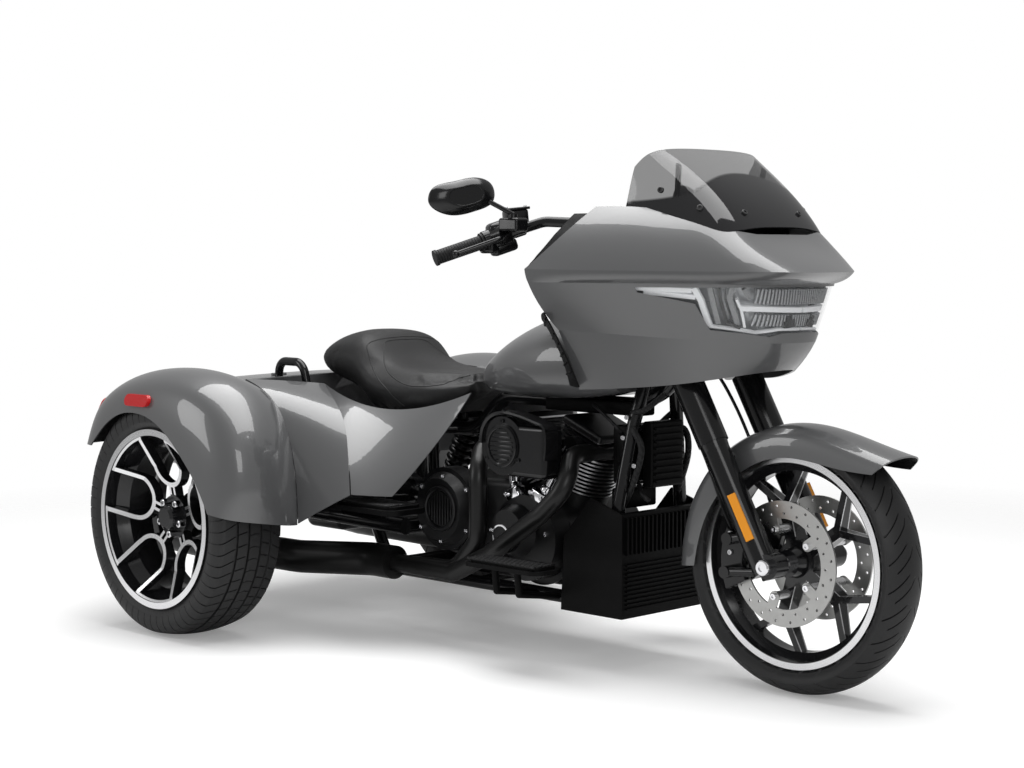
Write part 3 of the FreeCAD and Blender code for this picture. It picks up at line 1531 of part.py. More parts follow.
def body_outline(inset):
    """The boot and the body round it, as one solid that can be set in by a wall."""
    half = size("BodyHalfWidth") - 12 - fit - inset
    tail = size("SheetThick") + fit - size("WheelBase") - size("RearOverhang")
    stations = [
        (-1345 - inset, half, 330 + inset, 655 - inset, 662 - inset),
        (-1450, half, 330 + inset, 668 - inset, 676 - inset),
        (-1620, half, 440 + inset, 694 - inset, 702 - inset),
        (-1800, half, 440 + inset, 688 - inset, 698 - inset),
        (-1960, half, 440 + inset, 652 - inset, 676 - inset),
        (-2080, half - 12, 446 + inset, 610 - inset, 636 - inset),
        (tail + inset, half - 40, 462 + inset, 560 - inset, 580 - inset),
    ]
    wires = []
    for x, w, low, shoulder, top in stations:
        right = [(w, shoulder - 22), (w - 22, shoulder), (0, top)]
        corner = 18
        edges = []
        a = at_front(x, -w + corner, low)
        b = at_front(x, w - corner, low)
        edges.append(Part.LineSegment(a, b).toShape())
        c = at_front(x, w, low + corner)
        bend = at_front(x, w - corner * 0.29, low + corner * 0.29)
        edges.append(Part.Arc(b, bend, c).toShape())
        d = at_front(x, w, shoulder - 24)
        edges.append(Part.LineSegment(c, d).toShape())
        e = at_front(x, w - 24, shoulder)
        bend = at_front(x, w - 7, shoulder - 7)
        edges.append(Part.Arc(d, bend, e).toShape())
        f = at_front(x, -w + 24, shoulder)
        edges.append(Part.Arc(e, at_front(x, 0, top), f).toShape())
        g = at_front(x, -w, shoulder - 24)
        bend = at_front(x, -w + 7, shoulder - 7)
        edges.append(Part.Arc(f, bend, g).toShape())
        h = at_front(x, -w, low + corner)
        edges.append(Part.LineSegment(g, h).toShape())
        bend = at_front(x, -w + corner * 0.29, low + corner * 0.29)
        edges.append(Part.Arc(h, bend, a).toShape())
        wires.append(Part.Wire(edges))
    return Part.makeLoft(wires, True, True)


def build_rear_body():
    """A hollow boot between the fenders, closed ahead by the body that carries the seat."""
    wall = size("PanelThick")
    outer = body_outline(0)
    boot = body_outline(wall)
    front_wall = block(at_front(BOOT_FRONT - wall, -500, 300), at_front(-1300, 500, 800))
    cavity = boot.cut(front_wall)
    nose = boot.common(block(at_front(BOOT_FRONT, -500, 300), at_front(-1300, 500, 800)))
    shell = outer.cut(cavity).cut(nose)
    lid_zone = block(at_front(-2200, -392, 560), at_front(-1700, 392, 800))
    lid_cut = block(at_front(-2203, -395, 557), at_front(-1697, 395, 800))
    lid = shell.common(lid_zone)
    body = shell.cut(lid_cut)
    seam = [(-1346, 300), (-1350, 430), (-1398, 570), (-1470, 650), (-1566, 684), (-1566, 800), (-1300, 800), (-1300, 300)]
    body = body.cut(prism_y([(front_x + x, z) for x, z in seam], -500, 500))
    body = body.cut(block(at_front(BOOT_FRONT, -440, 300), at_front(-1300, 440, 800)))
    for side in (-1, 1):
        pin = at_front(LID_PIN[0], side * 205, LID_PIN[1])
        meet = pin + V(0, side * 25, 0)
        tip = pin + V(0, side * 50, 0)
        knuckle = rod(pin, meet, 4.5)
        lid_knuckle = rod(meet + V(0, side * fit, 0), tip, 4.5)
        around_body = rod(pin - V(0, side * 5, 0), meet + V(0, side * fit / 2, 0), 5)
        around_lid = rod(meet, tip + V(0, side * 5, 0), 5)
        lid = lid.cut(around_body)
        body = body.cut(around_lid).fuse(knuckle).fuse(rod(meet, tip, 2))
        lid = lid.fuse(lid_knuckle).cut(rod(pin, tip, 2 + size("RunningFit")))
    node("rear_body", body)
    node("boot_lid", lid)


LID_PIN = (-1698.5, 700.5)


def body_panel_rows():
    half = size("BodyHalfWidth") - 12
    seam = [(-1336, half, 322), (-1336, half, 450), (-1373, half, 592), (-1448, half, 676), (-1560, half, 703)]
    front = [(-1184, half - 54, 408), (-1222, half - 80, 510), (-1266, half - 120, 602), (-1372, half - 156, 652), (-1486, half - 220, 684)]
    rows = []
    for back, fore in zip(seam, front):
        mid = [(a + b) / 2 for a, b in zip(back, fore)]
        rows.append([at_front(back[0], -back[1], back[2]), at_front(mid[0] + 8, -mid[1] - 9, mid[2] + 4), at_front(fore[0], -fore[1], fore[2])])
    return rows


def side_cover_rows():
    half = size("BodyHalfWidth") - 12
    table = [
        [(-1484, half - 222, 682), (-1345, 215, 606), (-1171, 200, 600), (-965, 165, 680)],
        [(-1368, half - 156, 648), (-1290, 272, 574), (-1150, 240, 562), (-990, 188, 622)],
        [(-1246, half - 108, 560), (-1195, 322, 520), (-1110, 288, 500), (-1040, 236, 520)],
        [(-1180, half - 55, 410), (-1155, half - 72, 408), (-1125, half - 96, 406), (-1096, half - 126, 405)],
    ]
    return [[at_front(x, -out, z) for x, out, z in row] for row in table]


def build_side_panels():
    thick = size("PanelThick")
    inside = at_front(-1300, 0, 450)
    body_side = panel(body_panel_rows(), thick, inside)
    node("body_panels", Part.Compound([body_side, mirror_y(body_side)]))
    cover = panel(side_cover_rows(), thick, inside)
    node("side_covers", Part.Compound([cover, mirror_y(cover)]))


def build_plate_bracket():
    """A flat bracket on the tail, with the two holes that a number plate is screwed to."""
    thick = size("SheetThick")
    half = size("PlateSpacing") / 2 + 22
    back = V(rear_x - size("RearOverhang") + thick, 0, 522)
    plate = block(back + V(-thick, -half, -30), back + V(0, half, 30))
    holes = []
    for side in (-1, 1):
        hole = back + V(-thick - 2, side * size("PlateSpacing") / 2, 0)
        holes.append(rod(hole, hole + V(thick + 4, 0, 0), size("PlateHoleRadius")))
    return node("plate_bracket", plate.cut(Part.Compound(holes)))


def build_grab_rails():
    rails = []
    for side in (1, -1):
        points = [
            at_front(-1660, side * 262, 684),
            at_front(-1652, side * 262, 742),
            at_front(-1542, side * 268, 742),
            at_front(-1530, side * 262, 676),
        ]
        rails.append(bent_tube(points, 12, 40).cut(body_outline(-fit)))
    node("grab_rails", Part.Compound(rails))


FAIRING = [
    # nose, then outwards and back to the rear edge
    [(-52, 0, 772), (-58, 40, 770), (-92, 92, 764), (-160, 150, 749), (-245, 215, 734), (-345, 275, 726), (-430, 318, 722)],
    [(-26, 0, 798), (-34, 62, 798), (-70, 108, 797), (-152, 164, 792), (-250, 226, 787), (-358, 286, 784), (-440, 335, 785)],
    [(-8, 0, 838), (-16, 64, 838), (-44, 112, 839), (-130, 176, 844), (-245, 236, 850), (-362, 294, 858), (-458, 362, 866)],
    [(14, 0, 912), (4, 78, 912), (-36, 150, 912), (-118, 200, 914), (-240, 256, 915), (-372, 318, 918), (-512, 380, 922)],
    [(18, 0, 976), (8, 92, 976), (-36, 182, 976), (-115, 236, 978), (-235, 288, 979), (-385, 350, 980), (-534, 390, 980)],
    [(52, 0, 985), (42, 95, 985), (4, 188, 985), (-75, 248, 986), (-205, 312, 987), (-375, 366, 988), (-540, 392, 990)],
    [(76, 0, 1005), (66, 94, 1005), (28, 172, 1007), (-58, 234, 1008), (-200, 308, 1009), (-375, 366, 1010), (-542, 394, 1012)],
    [(0, 0, 1054), (-6, 92, 1054), (-20, 184, 1057), (-96, 234, 1058), (-215, 292, 1056), (-362, 350, 1050), (-500, 378, 1046)],
    [(-88, 0, 1088), (-88, 90, 1090), (-84, 176, 1099), (-116, 212, 1112), (-220, 256, 1126), (-335, 306, 1124), (-452, 342, 1106)],
    [(-98, 0, 1146), (-102, 90, 1146), (-112, 162, 1143), (-168, 200, 1140), (-245, 212, 1152), (-335, 246, 1164), (-420, 272, 1162)],
]
FAIRING_CREASES = (2, 4, 6)
LENS = [(0, 863), (70, 862), (98, 854), (187, 870), (225, 932), (292, 958), (298, 970), (0, 971)]
SCREEN = [
    [(-68, 0, 1112), (-72, 90, 1112), (-78, 176, 1100), (-112, 214, 1094), (-230, 236, 1108), (-357, 240, 1146)],
    [(-104, 0, 1164), (-107, 88, 1164), (-116, 176, 1158), (-152, 210, 1150), (-246, 228, 1158), (-354, 230, 1182)],
    [(-165, 0, 1226), (-168, 86, 1226), (-180, 168, 1222), (-208, 206, 1212), (-275, 226, 1212), (-350, 228, 1218)],
    [(-285, 0, 1303), (-288, 82, 1303), (-294, 156, 1300), (-302, 200, 1293), (-318, 218, 1280), (-340, 223, 1256)],
]
LINER = [
    [(-730, 138, 878), (-600, 280, 900), (-474, 400, 908)],
    [(-690, 138, 838), (-560, 276, 850), (-436, 392, 852)],
    [(-650, 142, 785), (-530, 264, 792), (-416, 376, 795)],
    [(-625, 146, 716), (-515, 256, 722), (-402, 352, 730)],
]
LENS_THICK = 4
HOUSING_DEPTH = 46


def fairing_net():
    return [both_sides(row) for row in FAIRING], at_front(-300, 0, 950)


def lamp_zone():
    """The space from the nose's outer face back to the headlamp housing's back, with a fit."""
    rows, inside = fairing_net()
    whole = size("PanelThick") + LENS_THICK + HOUSING_DEPTH + 3 * fit
    return panel(rows, whole, inside, FAIRING_CREASES, first=1, last=5)


def build_fairing():
    """A frame-mounted nose: one skin with a lamp opening and a vent, a lens and its housing."""
    thick = size("PanelThick")
    rows, inside = fairing_net()
    skin = panel(rows, thick, inside, FAIRING_CREASES)
    outline = [(-y, z) for y, z in LENS] + [(y, z) for y, z in LENS[1:-1]][::-1]
    ahead, behind = front_x + 120, front_x - 330
    vent = [(-166, 1132), (-176, 1104), (-100, 1094), (100, 1094), (176, 1104), (166, 1132)]
    node("fairing", skin.cut(prism_x(outline, behind, ahead)).cut(prism_x(vent, front_x - 140, ahead)))
    lens = panel(rows, LENS_THICK, inside, FAIRING_CREASES, depth=thick + fit, first=2, last=4)
    larger = [(y * 1.04, 914 + (z - 914) * 1.14) for y, z in outline]
    behind_hole = prism_x(larger, behind, ahead)
    node("headlamp_lens", lens.common(behind_hole))
    back = thick + LENS_THICK + 2 * fit
    housing = panel(rows, HOUSING_DEPTH, inside, FAIRING_CREASES, depth=back, first=1, last=5)
    hollow = panel(rows, HOUSING_DEPTH - 6, inside, FAIRING_CREASES, depth=back - fit, first=2, last=4)
    hollow = hollow.common(prism_x(outline, behind, ahead))
    node("headlamp_housing", housing.common(behind_hole).cut(hollow))
    screen_rows = [both_sides(row) for row in SCREEN]
    screen = panel(screen_rows, size("ScreenThick"), inside)
    under = panel(rows[6:], 34, inside, depth=-fit)
    screen = largest(screen.cut(under))
    node("windscreen", screen)
    return screen_rows


def build_inner_fairing(screen_rows):
    """The dark dash inside the nose, held by its wings to the skin and by pegs to the screen."""
    rows, inside = fairing_net()
    thick = size("PanelThick")
    wires = []
    for x, half, high in ((-335, 250, 1146), (-270, 206, 1146), (-170, 130, 1122)):
        low = DASH_BOTTOM
        wires.append(
            Part.makePolygon(
                [
                    at_front(x, -half, low + 30),
                    at_front(x, -half * 0.7, low),
                    at_front(x, half * 0.7, low),
                    at_front(x, half, low + 30),
                    at_front(x, half * 0.8, high),
                    at_front(x, -half * 0.8, high),
                    at_front(x, -half, low + 30),
                ]
            )
        )
    dash = Part.makeLoft(wires, True, True)
    under_skin = panel(rows[6:], 90, inside, depth=thick + fit)
    wings = block(at_front(-372, -420, 1098), at_front(-250, 420, 1108)).common(under_skin)
    parts = [dash] + wings.Solids
    clear_screen = panel(screen_rows, size("ScreenThick") + fit, inside)
    for x, out, z in ((-271, 150, 1130), (-180, 90, 1110)):
        for side in (-1, 1):
            foot = at_front(x, side * out, z)
            post = rod(foot, foot + V(26, side * 20, 170), 7).cut(clear_screen)
            parts.append(min(post.Solids, key=lambda solid: solid.CenterOfMass.z))
    return node("inner_fairing", fuse(parts))


def build_fairing_liner(tank):
    """The dark panel that closes the gap between the tank and the fairing's rear edge."""
    rows, inside = fairing_net()
    thick = size("PanelThick")
    liner_rows = [[at_front(x, -out, z) for x, out, z in row] for row in LINER]
    liner = panel(liner_rows, thick, at_front(-400, 0, 800))
    skin_zone = panel(rows, thick + 2 * fit, inside, FAIRING_CREASES, depth=-fit)
    beside_tank = tank.copy()
    beside_tank.translate(V(0, -fit, 0))
    liner = largest(largest(liner.cut(skin_zone)).cut(beside_tank))
    return node("fairing_liner", Part.Compound([liner, mirror_y(liner)]))


def build_bodywork():
    tank = build_tank()
    node("seat", seat_solid())
    build_rear_fenders()
    build_rear_lamps()
    build_rear_body()
    build_side_panels()
    build_plate_bracket()
    build_grab_rails()
    build_inner_fairing(build_fairing())
    build_fairing_liner(tank)


def build_chassis():
    build_frame()
    build_rear_axle()
    build_engine()
    build_engine_covers()
    build_air_cleaner()
    build_exhaust()
    build_lower_cowl()
    build_oil_cooler()
    build_footboards()
    build_bodywork()


build_front_wheel()
build_front_discs()
build_rear_wheels()
build_steering()
build_chassis()

doc.recompute()
os.makedirs("parts", exist_ok=True)
written = []
for thing in doc.Objects:
    if "Invalid" in thing.State or "Error" in thing.State:
        raise RuntimeError(f"{thing.Label} failed to build")
    top_level = thing.TypeId in ("PartDesign::Body", "Part::Feature")
    if not top_level:
        continue
    shape = thing.Shape
    if shape.isNull() or not shape.isValid() or shape.Volume <= 0:
        raise RuntimeError(f"{thing.Label} has no valid solid")
    shape.exportStep(f"parts/{thing.Label}.step")
    written.append(thing.Label)
print(len(written), "nodes")
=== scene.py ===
import cmath
import math

import bpy
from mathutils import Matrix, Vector


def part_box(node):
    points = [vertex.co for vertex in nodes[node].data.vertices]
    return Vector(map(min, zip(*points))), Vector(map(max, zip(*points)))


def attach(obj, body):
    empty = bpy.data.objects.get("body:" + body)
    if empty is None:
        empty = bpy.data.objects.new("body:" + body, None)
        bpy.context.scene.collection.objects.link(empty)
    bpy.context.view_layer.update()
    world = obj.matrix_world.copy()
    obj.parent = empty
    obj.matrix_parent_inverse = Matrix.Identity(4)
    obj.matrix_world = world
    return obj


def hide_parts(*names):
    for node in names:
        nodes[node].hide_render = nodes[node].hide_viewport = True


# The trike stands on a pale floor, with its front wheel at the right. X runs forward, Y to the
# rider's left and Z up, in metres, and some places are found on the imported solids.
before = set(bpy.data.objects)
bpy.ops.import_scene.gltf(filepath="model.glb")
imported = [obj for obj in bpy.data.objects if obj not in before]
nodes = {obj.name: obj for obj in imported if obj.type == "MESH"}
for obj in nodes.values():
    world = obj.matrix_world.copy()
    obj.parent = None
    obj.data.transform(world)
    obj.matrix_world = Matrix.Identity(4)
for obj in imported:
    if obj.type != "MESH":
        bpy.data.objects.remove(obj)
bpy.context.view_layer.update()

# Camera: the photograph's view, from ahead and to the right, level with the tank.
camera_data = bpy.data.cameras.new("camera")
camera_data.lens = 69.04
camera_data.clip_end = 100
camera = bpy.data.objects.new("camera", camera_data)
bpy.context.scene.collection.objects.link(camera)
bpy.context.scene.camera = camera
camera.location = (3.70198, -3.77758, 1.0513)
aim = Vector((-0.05493, 0, 0.69482)) - camera.location
camera.rotation_euler = aim.to_track_quat("-Z", "Y").to_euler()


# Wheel castings: the front rim with its forked spokes and the two deep-dish rear ones, cast in
# aluminium alloy and painted gloss black. Their lips and faces are then turned bright on a lathe.
class Sock:
    """A shader socket with the usual sums, so that patterns read as formulas."""

    def __init__(self, tree, link):
        self.tree = tree
        self.link = link

    def math(self, operation, *others):
        node = self.tree.nodes.new("ShaderNodeMath")
        node.operation = operation
        for socket, value in zip(node.inputs, (self,) + others):
            if isinstance(value, Sock):
                self.tree.links.new(value.link, socket)
            else:
                socket.default_value = value
        return Sock(self.tree, node.outputs[0])

    def __add__(self, other):
        return self.math("ADD", other)

    __radd__ = __add__

    def __mul__(self, other):
        return self.math("MULTIPLY", other)

    __rmul__ = __mul__

    def __sub__(self, other):
        return self.math("SUBTRACT", other)

    def __rsub__(self, other):
        return (self * -1.0) + other

    def __truediv__(self, other):
        return self.math("DIVIDE", other)

    def __abs__(self):
        return self.math("ABSOLUTE")

    def over(self, edge, soft=0.001):
        """1 where the value is above an edge, fading to 0 below it."""
        return ((self - edge) / soft + 0.5).math("MINIMUM", 1.0).math("MAXIMUM", 0.0)

    def under(self, edge, soft=0.001):
        return 1.0 - self.over(edge, soft)


class Paint:
    """A material in the making: its principled shader, and short ways to reach other nodes."""

    def __init__(self, name, color, roughness, specular=0.5, **settings):
        self.material = bpy.data.materials.new(name)
        self.material.use_nodes = True
        self.tree = self.material.node_tree
        self.shader = self.tree.nodes["Principled BSDF"]
        self.put("Base Color", (*color, 1))
        self.put("Roughness", roughness)
        self.put("Specular IOR Level", specular)
        for key, value in settings.items():
            self.put(key.replace("_", " ").title(), value)

    def node(self, kind, settings=(), **sockets):
        made = self.tree.nodes.new("ShaderNode" + kind)
        for key, value in dict(settings).items():
            setattr(made, key, value)
        for key, value in sockets.items():
            self.feed(made.inputs[key.replace("_", " ")], value)
        return made

    def feed(self, socket, value):
        if isinstance(value, Sock):
            self.tree.links.new(value.link, socket)
        elif isinstance(value, bpy.types.NodeSocket):
            self.tree.links.new(value, socket)
        else:
            socket.default_value = value

    def vector(self, kind="Object"):
        """The place on the piece, or with Normal the way that its surface faces."""
        return self.tree.nodes.new("ShaderNodeTexCoord").outputs[kind]

    def axes(self, kind="Object"):
        """The same as three values."""
        split = self.node("SeparateXYZ", Vector=self.vector(kind))
        return [Sock(self.tree, out) for out in split.outputs]

    def noise(self, scale, detail=3.0):
        made = self.node("TexNoise", Vector=self.vector(), Scale=scale, Detail=detail)
        return Sock(self.tree, made.outputs["Fac"])

    def blend(self, share, first, second):
        mix = self.node("Mix", {"data_type": "RGBA"}, Factor=share)
        mix.inputs[6].default_value = (*first, 1)
        mix.inputs[7].default_value = (*second, 1)
        return mix.outputs[2]

    def put(self, title, value):
        self.feed(self.shader.inputs[title], value)

    def bump(self, height, depth):
        self.put("Normal", self.node("Bump", Height=height, Distance=depth, Strength=1.0).outputs[0])

    def grain(self, scale, depth, detail=3.0):
        self.bump(self.noise(scale, detail), depth)

    def patches(self, scale, spread, base):
        """Roughness that varies softly from place to place."""
        self.put("Roughness", self.noise(scale) * spread + base)


def dress(paint, *names):
    """Gives solids their finish."""
    for name in names:
        materials = nodes[name].data.materials
        materials.clear()
        materials.append(paint.material)


SIDES = {"left": 1, "right": -1}
FRONT_AXLE = sum(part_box("front_tyre"), Vector()) / 2
REAR_AXLES = {side: sum(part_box("rear_tyre_" + side), Vector()) / 2 for side in SIDES}
BRIGHT = (0.80, 0.80, 0.81)
WHEEL_BLACK = (0.010, 0.010, 0.011)
FRONT_LIP_FROM = 0.2385
FRONT_LIP_ACROSS = 0.040
SPOKES_FROM = 0.060
SPOKES_TO = 0.2165
SPOKE_RIM = 0.220
SPOKE_EDGE_AT_RIM = 0.0088
SPOKE_EDGE_SLOPE = 0.0722
REAR_HUB = 0.062
REAR_DISH = 0.024


def wheel_paint(name, centre, bright_share):
    """Gloss black, with bright turned faces where bright_share says; it gets the radius and the
    outward place and direction."""
    paint = Paint(name, WHEEL_BLACK, 0.16)
    x, y, z = paint.axes()
    dx, dz = x - centre.x, z - centre.z
    radius = (dx * dx + dz * dz).math("SQRT")
    share = bright_share(radius, y, paint.axes("Normal")[1])
    rings = (radius * 5200.0).math("SINE") * 0.5 + 0.5
    paint.put("Base Color", paint.blend(share, WHEEL_BLACK, BRIGHT))
    paint.put("Roughness", share * (0.10 + rings * 0.06) + 0.14)
    paint.put("Metallic", share)
    return paint


def front_lip(radius, y, facing):
    """The rim's lips, and the bevelled edges of the spokes."""
    lip = radius.over(FRONT_LIP_FROM) * abs(facing).over(0.8, 0.05) * abs(y).over(FRONT_LIP_ACROSS, 0.001)
    face = (SPOKE_RIM - radius) * SPOKE_EDGE_SLOPE + SPOKE_EDGE_AT_RIM
    edge = (abs(y) - face).over(0.0, 0.0006) * abs(facing).under(0.5, 0.1)
    on_spoke = radius.over(SPOKES_FROM, 0.002) * radius.under(SPOKES_TO, 0.001)
    return (lip + edge * on_spoke * 0.75).math("MINIMUM", 1.0)


dress(wheel_paint("front_casting", FRONT_AXLE, front_lip), "front_rim")


def rear_face(side):
    """All that faces out in a rear rim's dish."""

    def share(radius, y, facing):
        deep = (y - REAR_AXLES[side].y) * SIDES[side]
        on_lip = deep.over(REAR_DISH, 0.002) * radius.over(REAR_HUB, 0.001)
        return on_lip * (facing * SIDES[side]).over(0.6, 0.05)

    return share


for side in SIDES:
    dress(wheel_paint("rear_casting_" + side, REAR_AXLES[side], rear_face(side)), "rear_rim_" + side)

# Tyres: moulded black rubber, their tread grooves cut into a sheet that is rolled up round the
# rim. The front one has bent strokes, the rear ones four round grooves and cross cuts.
SIDE_ROWS = 14
RIDGE_ROW = 9
RIDGE = 0.0012


def fresh(add, **settings):
    """A new piece from one of the mesh operators, with nothing else selected."""
    bpy.ops.object.select_all(action="DESELECT")
    add(**settings)
    return bpy.context.object


def lofted(name, rings, closed=False):
    """A grid laid over rings of points, one row of it to a ring, its seam merged and ends shut."""
    across = len(rings[0])
    rows = rings + rings[:1] if closed else rings
    piece = fresh(bpy.ops.mesh.primitive_grid_add, x_subdivisions=across, y_subdivisions=len(rows) - 1)
    piece.name = name
    for index, vertex in enumerate(piece.data.vertices):
        row, column = divmod(index, across + 1)
        vertex.co = rows[row][column % across]
    bpy.ops.object.mode_set(mode="EDIT")
    bpy.ops.mesh.select_all(action="SELECT")
    bpy.ops.mesh.remove_doubles(threshold=0.000002)
    if not closed:
        bpy.ops.mesh.fill_holes(sides=0)
    bpy.ops.mesh.select_all(action="SELECT")
    bpy.ops.mesh.normals_make_consistent(inside=False)
    bpy.ops.object.mode_set(mode="OBJECT")
    settle(piece)
    return piece


def settle(piece, angle=35):
    """Puts a piece's place into its mesh and smooths it up to an angle."""
    bpy.ops.object.select_all(action="DESELECT")
    piece.select_set(True)
    bpy.context.view_layer.objects.active = piece
    bpy.ops.object.transform_apply(location=True, rotation=True, scale=True)
    bpy.ops.object.shade_smooth_by_angle(angle=math.radians(angle))
    piece.select_set(False)


def finish(piece, body, paint, stands_for=()):
    """Paints a piece and says where it belongs."""
    piece.data.materials.clear()
    piece.data.materials.append(paint.material)
    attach(piece, body)
    if stands_for:
        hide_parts(*stands_for)


def arc(start, through, end, count):
    """Points on the circle through three places, the first left out."""
    a, b, c = complex(*start), complex(*through), complex(*end)
    ratio = (c - a) / (b - a)
    centre = a - (a - b) * (ratio - abs(ratio) ** 2) / 2j / ratio.imag
    turn = cmath.phase((c - centre) / (a - centre))
    places = [centre + (a - centre) * cmath.rect(1, turn * k / count) for k in range(1, count + 1)]
    return [(place.real, place.imag) for place in places]


def crown_radius(across, outer, shoulder, drop):
    """The crown's arc: how far from the axle it is, at a distance across from the middle."""
    bow = (shoulder * shoulder + drop * drop) / (2 * drop)
    return outer - bow + math.sqrt(bow * bow - across * across)


def rolled_tyre(name, centre, out, size, crown, columns, groove, lean):
    """Rolls the tread's sheet up: crown gives the rows' places across, columns the places round
    it in metres, groove the depth at a row and column, and lean how far a row is dragged round.
    The size is the tyre's radius, half its crown and its whole half width, the flange's radius,
    half the width at the bead, how far the crown drops, and the wall."""
    outer, shoulder, belly, flange, bead_half, drop, wall = size
    bead_top = flange + 0.002
    shoulder_at = outer - drop
    middle = ((shoulder_at + bead_top) / 2, belly)
    sidewall = arc((shoulder_at, shoulder), middle, (bead_top, bead_half), SIDE_ROWS)
    ridge = sidewall[RIDGE_ROW]
    sidewall[RIDGE_ROW] = (ridge[0], ridge[1] + RIDGE)
    foot = (flange - 0.0117, bead_half)
    half = [(crown_radius(y, outer, shoulder, drop), y) for y in crown] + sidewall + [foot]
    mirrored = [(radius, -y) for radius, y in half[:0:-1]]
    inner = [
        (foot[0], bead_half - wall),
        ((shoulder_at + bead_top) / 2, belly - wall),
        (outer - wall - drop / 2, shoulder * 0.5),
        (outer - wall, 0),
    ]
    inner += [(radius, -y) for radius, y in inner[-2::-1]]
    rings = []
    for place, kind in columns:
        ring = []
        for radius, y in mirrored + half:
            depth = groove(abs(y), kind)
            # a groove is cut square to the crown, and towards the middle on the sidewall
            slope = min(1.0, abs(y) / shoulder) * 0.5
            r = radius - depth * math.sqrt(1 - slope * slope)
            ring.append(((place + lean(abs(y))) / outer, r, y - math.copysign(depth * slope, y)))
        ring += [(place / outer, radius, y) for radius, y in inner]
        rings.append([centre + Vector((r * math.cos(a), y * out, -r * math.sin(a))) for a, r, y in ring])
    return lofted(name, rings, closed=True)


tyre_rubber = Paint("tyre_rubber", (0.016, 0.016, 0.0165), 0.5, specular=0.35)
tyre_rubber.patches(38.0, 0.16, 0.42)
tyre_rubber.grain(1500.0, 0.00015, 4.0)

FRONT_TYRE = (0.319, 0.066, 0.0607, 0.254, 0.0427, 0.034, 0.012)
STROKE_PITCHES = 56
STROKE_DEPTH = 0.0048
STROKE_STEPS = (0, 0.001, 0.0042, 0.0052, 0.013, 0.022, 0.029)
STROKE_CUTS = (0.001, 0.0042)
STROKE_ENDS = ((0.007, 0.050), (0.021, 0.064))
front_pitch = math.tau * FRONT_TYRE[0] / STROKE_PITCHES


def front_lean(across):
    """The strokes' path: along the tyre near its middle, then slanting out to the shoulder."""
    bend = min(max(across - 0.006, 0.0), 0.011)
    slant = min(max(across - 0.017, 0.0), 0.050)
    return bend * 2.0 + slant * 1.15


def front_groove(across, kind):
    """A stroke at every pitch, by turns near the middle and further out."""
    in_cut, parity = kind
    if not in_cut:
        return 0.0
    start, end = STROKE_ENDS[parity]
    inside = min(across - start, end - across) / 0.003
    return STROKE_DEPTH * min(max(inside, 0.0), 1.0)


front_columns = []
for k in range(STROKE_PITCHES):
    front_columns += [(k * front_pitch + step, (step in STROKE_CUTS, k % 2)) for step in STROKE_STEPS]
front_crown = [FRONT_TYRE[1] * k / 26 for k in range(27)]
front_tyre = rolled_tyre(
    "front_tyre_tread", FRONT_AXLE, 1, FRONT_TYRE, front_crown, front_columns, front_groove, front_lean
)
finish(front_tyre, "front_wheel", tyre_rubber, ["front_tyre"])

REAR_TYRE = (0.325, 0.09288, 0.108, 0.246, 0.0967, 0.012, 0.014)
REAR_PITCHES = 60
ZIGZAG_GROOVES = (0.020, 0.056)
GROOVE_HALF = 0.0029
REAR_STEPS = (
    (0, ""), (0.0009, "cut"), (0.0031, "cut"), (0.004, ""), (0.011, ""),
    (0.016, ""), (0.0166, "sipe"), (0.0182, "sipe"), (0.0188, ""), (0.026, ""),
)
rear_pitch = math.tau * REAR_TYRE[0] / REAR_PITCHES


def rear_lean(across):
    """The cross cuts slant all the way out, and more steeply on the shoulders."""
    return min(across, 0.1) * 0.28 + max(across - 0.056, 0.0) * 0.25


def rear_groove(across, kind):
    """Round grooves everywhere, and cross cuts that are wide on the shoulders."""
    if any(abs(across - middle) < GROOVE_HALF for middle in ZIGZAG_GROOVES):
        return 0.0062
    if kind == "cut" and across > 0.0605:
        return 0.005 if across < 0.100 else 0.0022
    if kind == "cut" and 0.0245 < across < 0.0515:
        return 0.0045
    if kind == "sipe" and across < 0.0165:
        return 0.0035
    return 0.0


rear_columns = [(k * rear_pitch + step, kind) for k in range(REAR_PITCHES) for step, kind in REAR_STEPS]
rear_crown = [0.0, 0.006, 0.012, 0.016]
for middle, beyond in zip(ZIGZAG_GROOVES, (4, 3)):
    rear_crown += [middle + step for step in (-0.0037, -0.0027, 0.0027, 0.0037)]
    rear_crown += [middle + step for step in (0.008, 0.015, 0.023, 0.031)[:beyond]]
rear_crown += [0.0875, REAR_TYRE[1]]
REAR_TREAD = (REAR_TYRE, rear_crown, rear_columns, rear_groove, rear_lean)
for side, out in SIDES.items():
    tread = rolled_tyre("rear_tyre_tread_" + side, REAR_AXLES[side], out, *REAR_TREAD)
    finish(tread, "rear_wheel_" + side, tyre_rubber, ["rear_tyre_" + side])

# Brake discs: two drilled rotors of stainless steel, ground flat, which leaves them evenly dull.
# Five bolts hold each one to its side of the front hub.
disc_steel = Paint("disc_steel", (0.46, 0.46, 0.45), 0.34, metallic=1.0)
disc_steel.patches(60.0, 0.2, 0.26)
dress(disc_steel, "front_discs")

# Painted bodywork: the steel tank and the moulded panels, fenders and fairing, bolted to the frame.
# They are painted neutral grey under clear lacquer, and the shells stay bare black inside.
BODY_GREY = (0.082, 0.083, 0.085)
BARE_PLASTIC = (0.004, 0.004, 0.0042)


def lacquer(paint):
    """The faint waviness of sprayed clear lacquer."""
    paint.put("Coat Roughness", 0.03)
    paint.grain(260.0, 0.00004, 2.0)


body_paint = Paint("body_paint", BODY_GREY, 0.36, coat_weight=1.0)
lacquer(body_paint)
dress(body_paint, "fuel_tank", "body_panels", "side_covers")


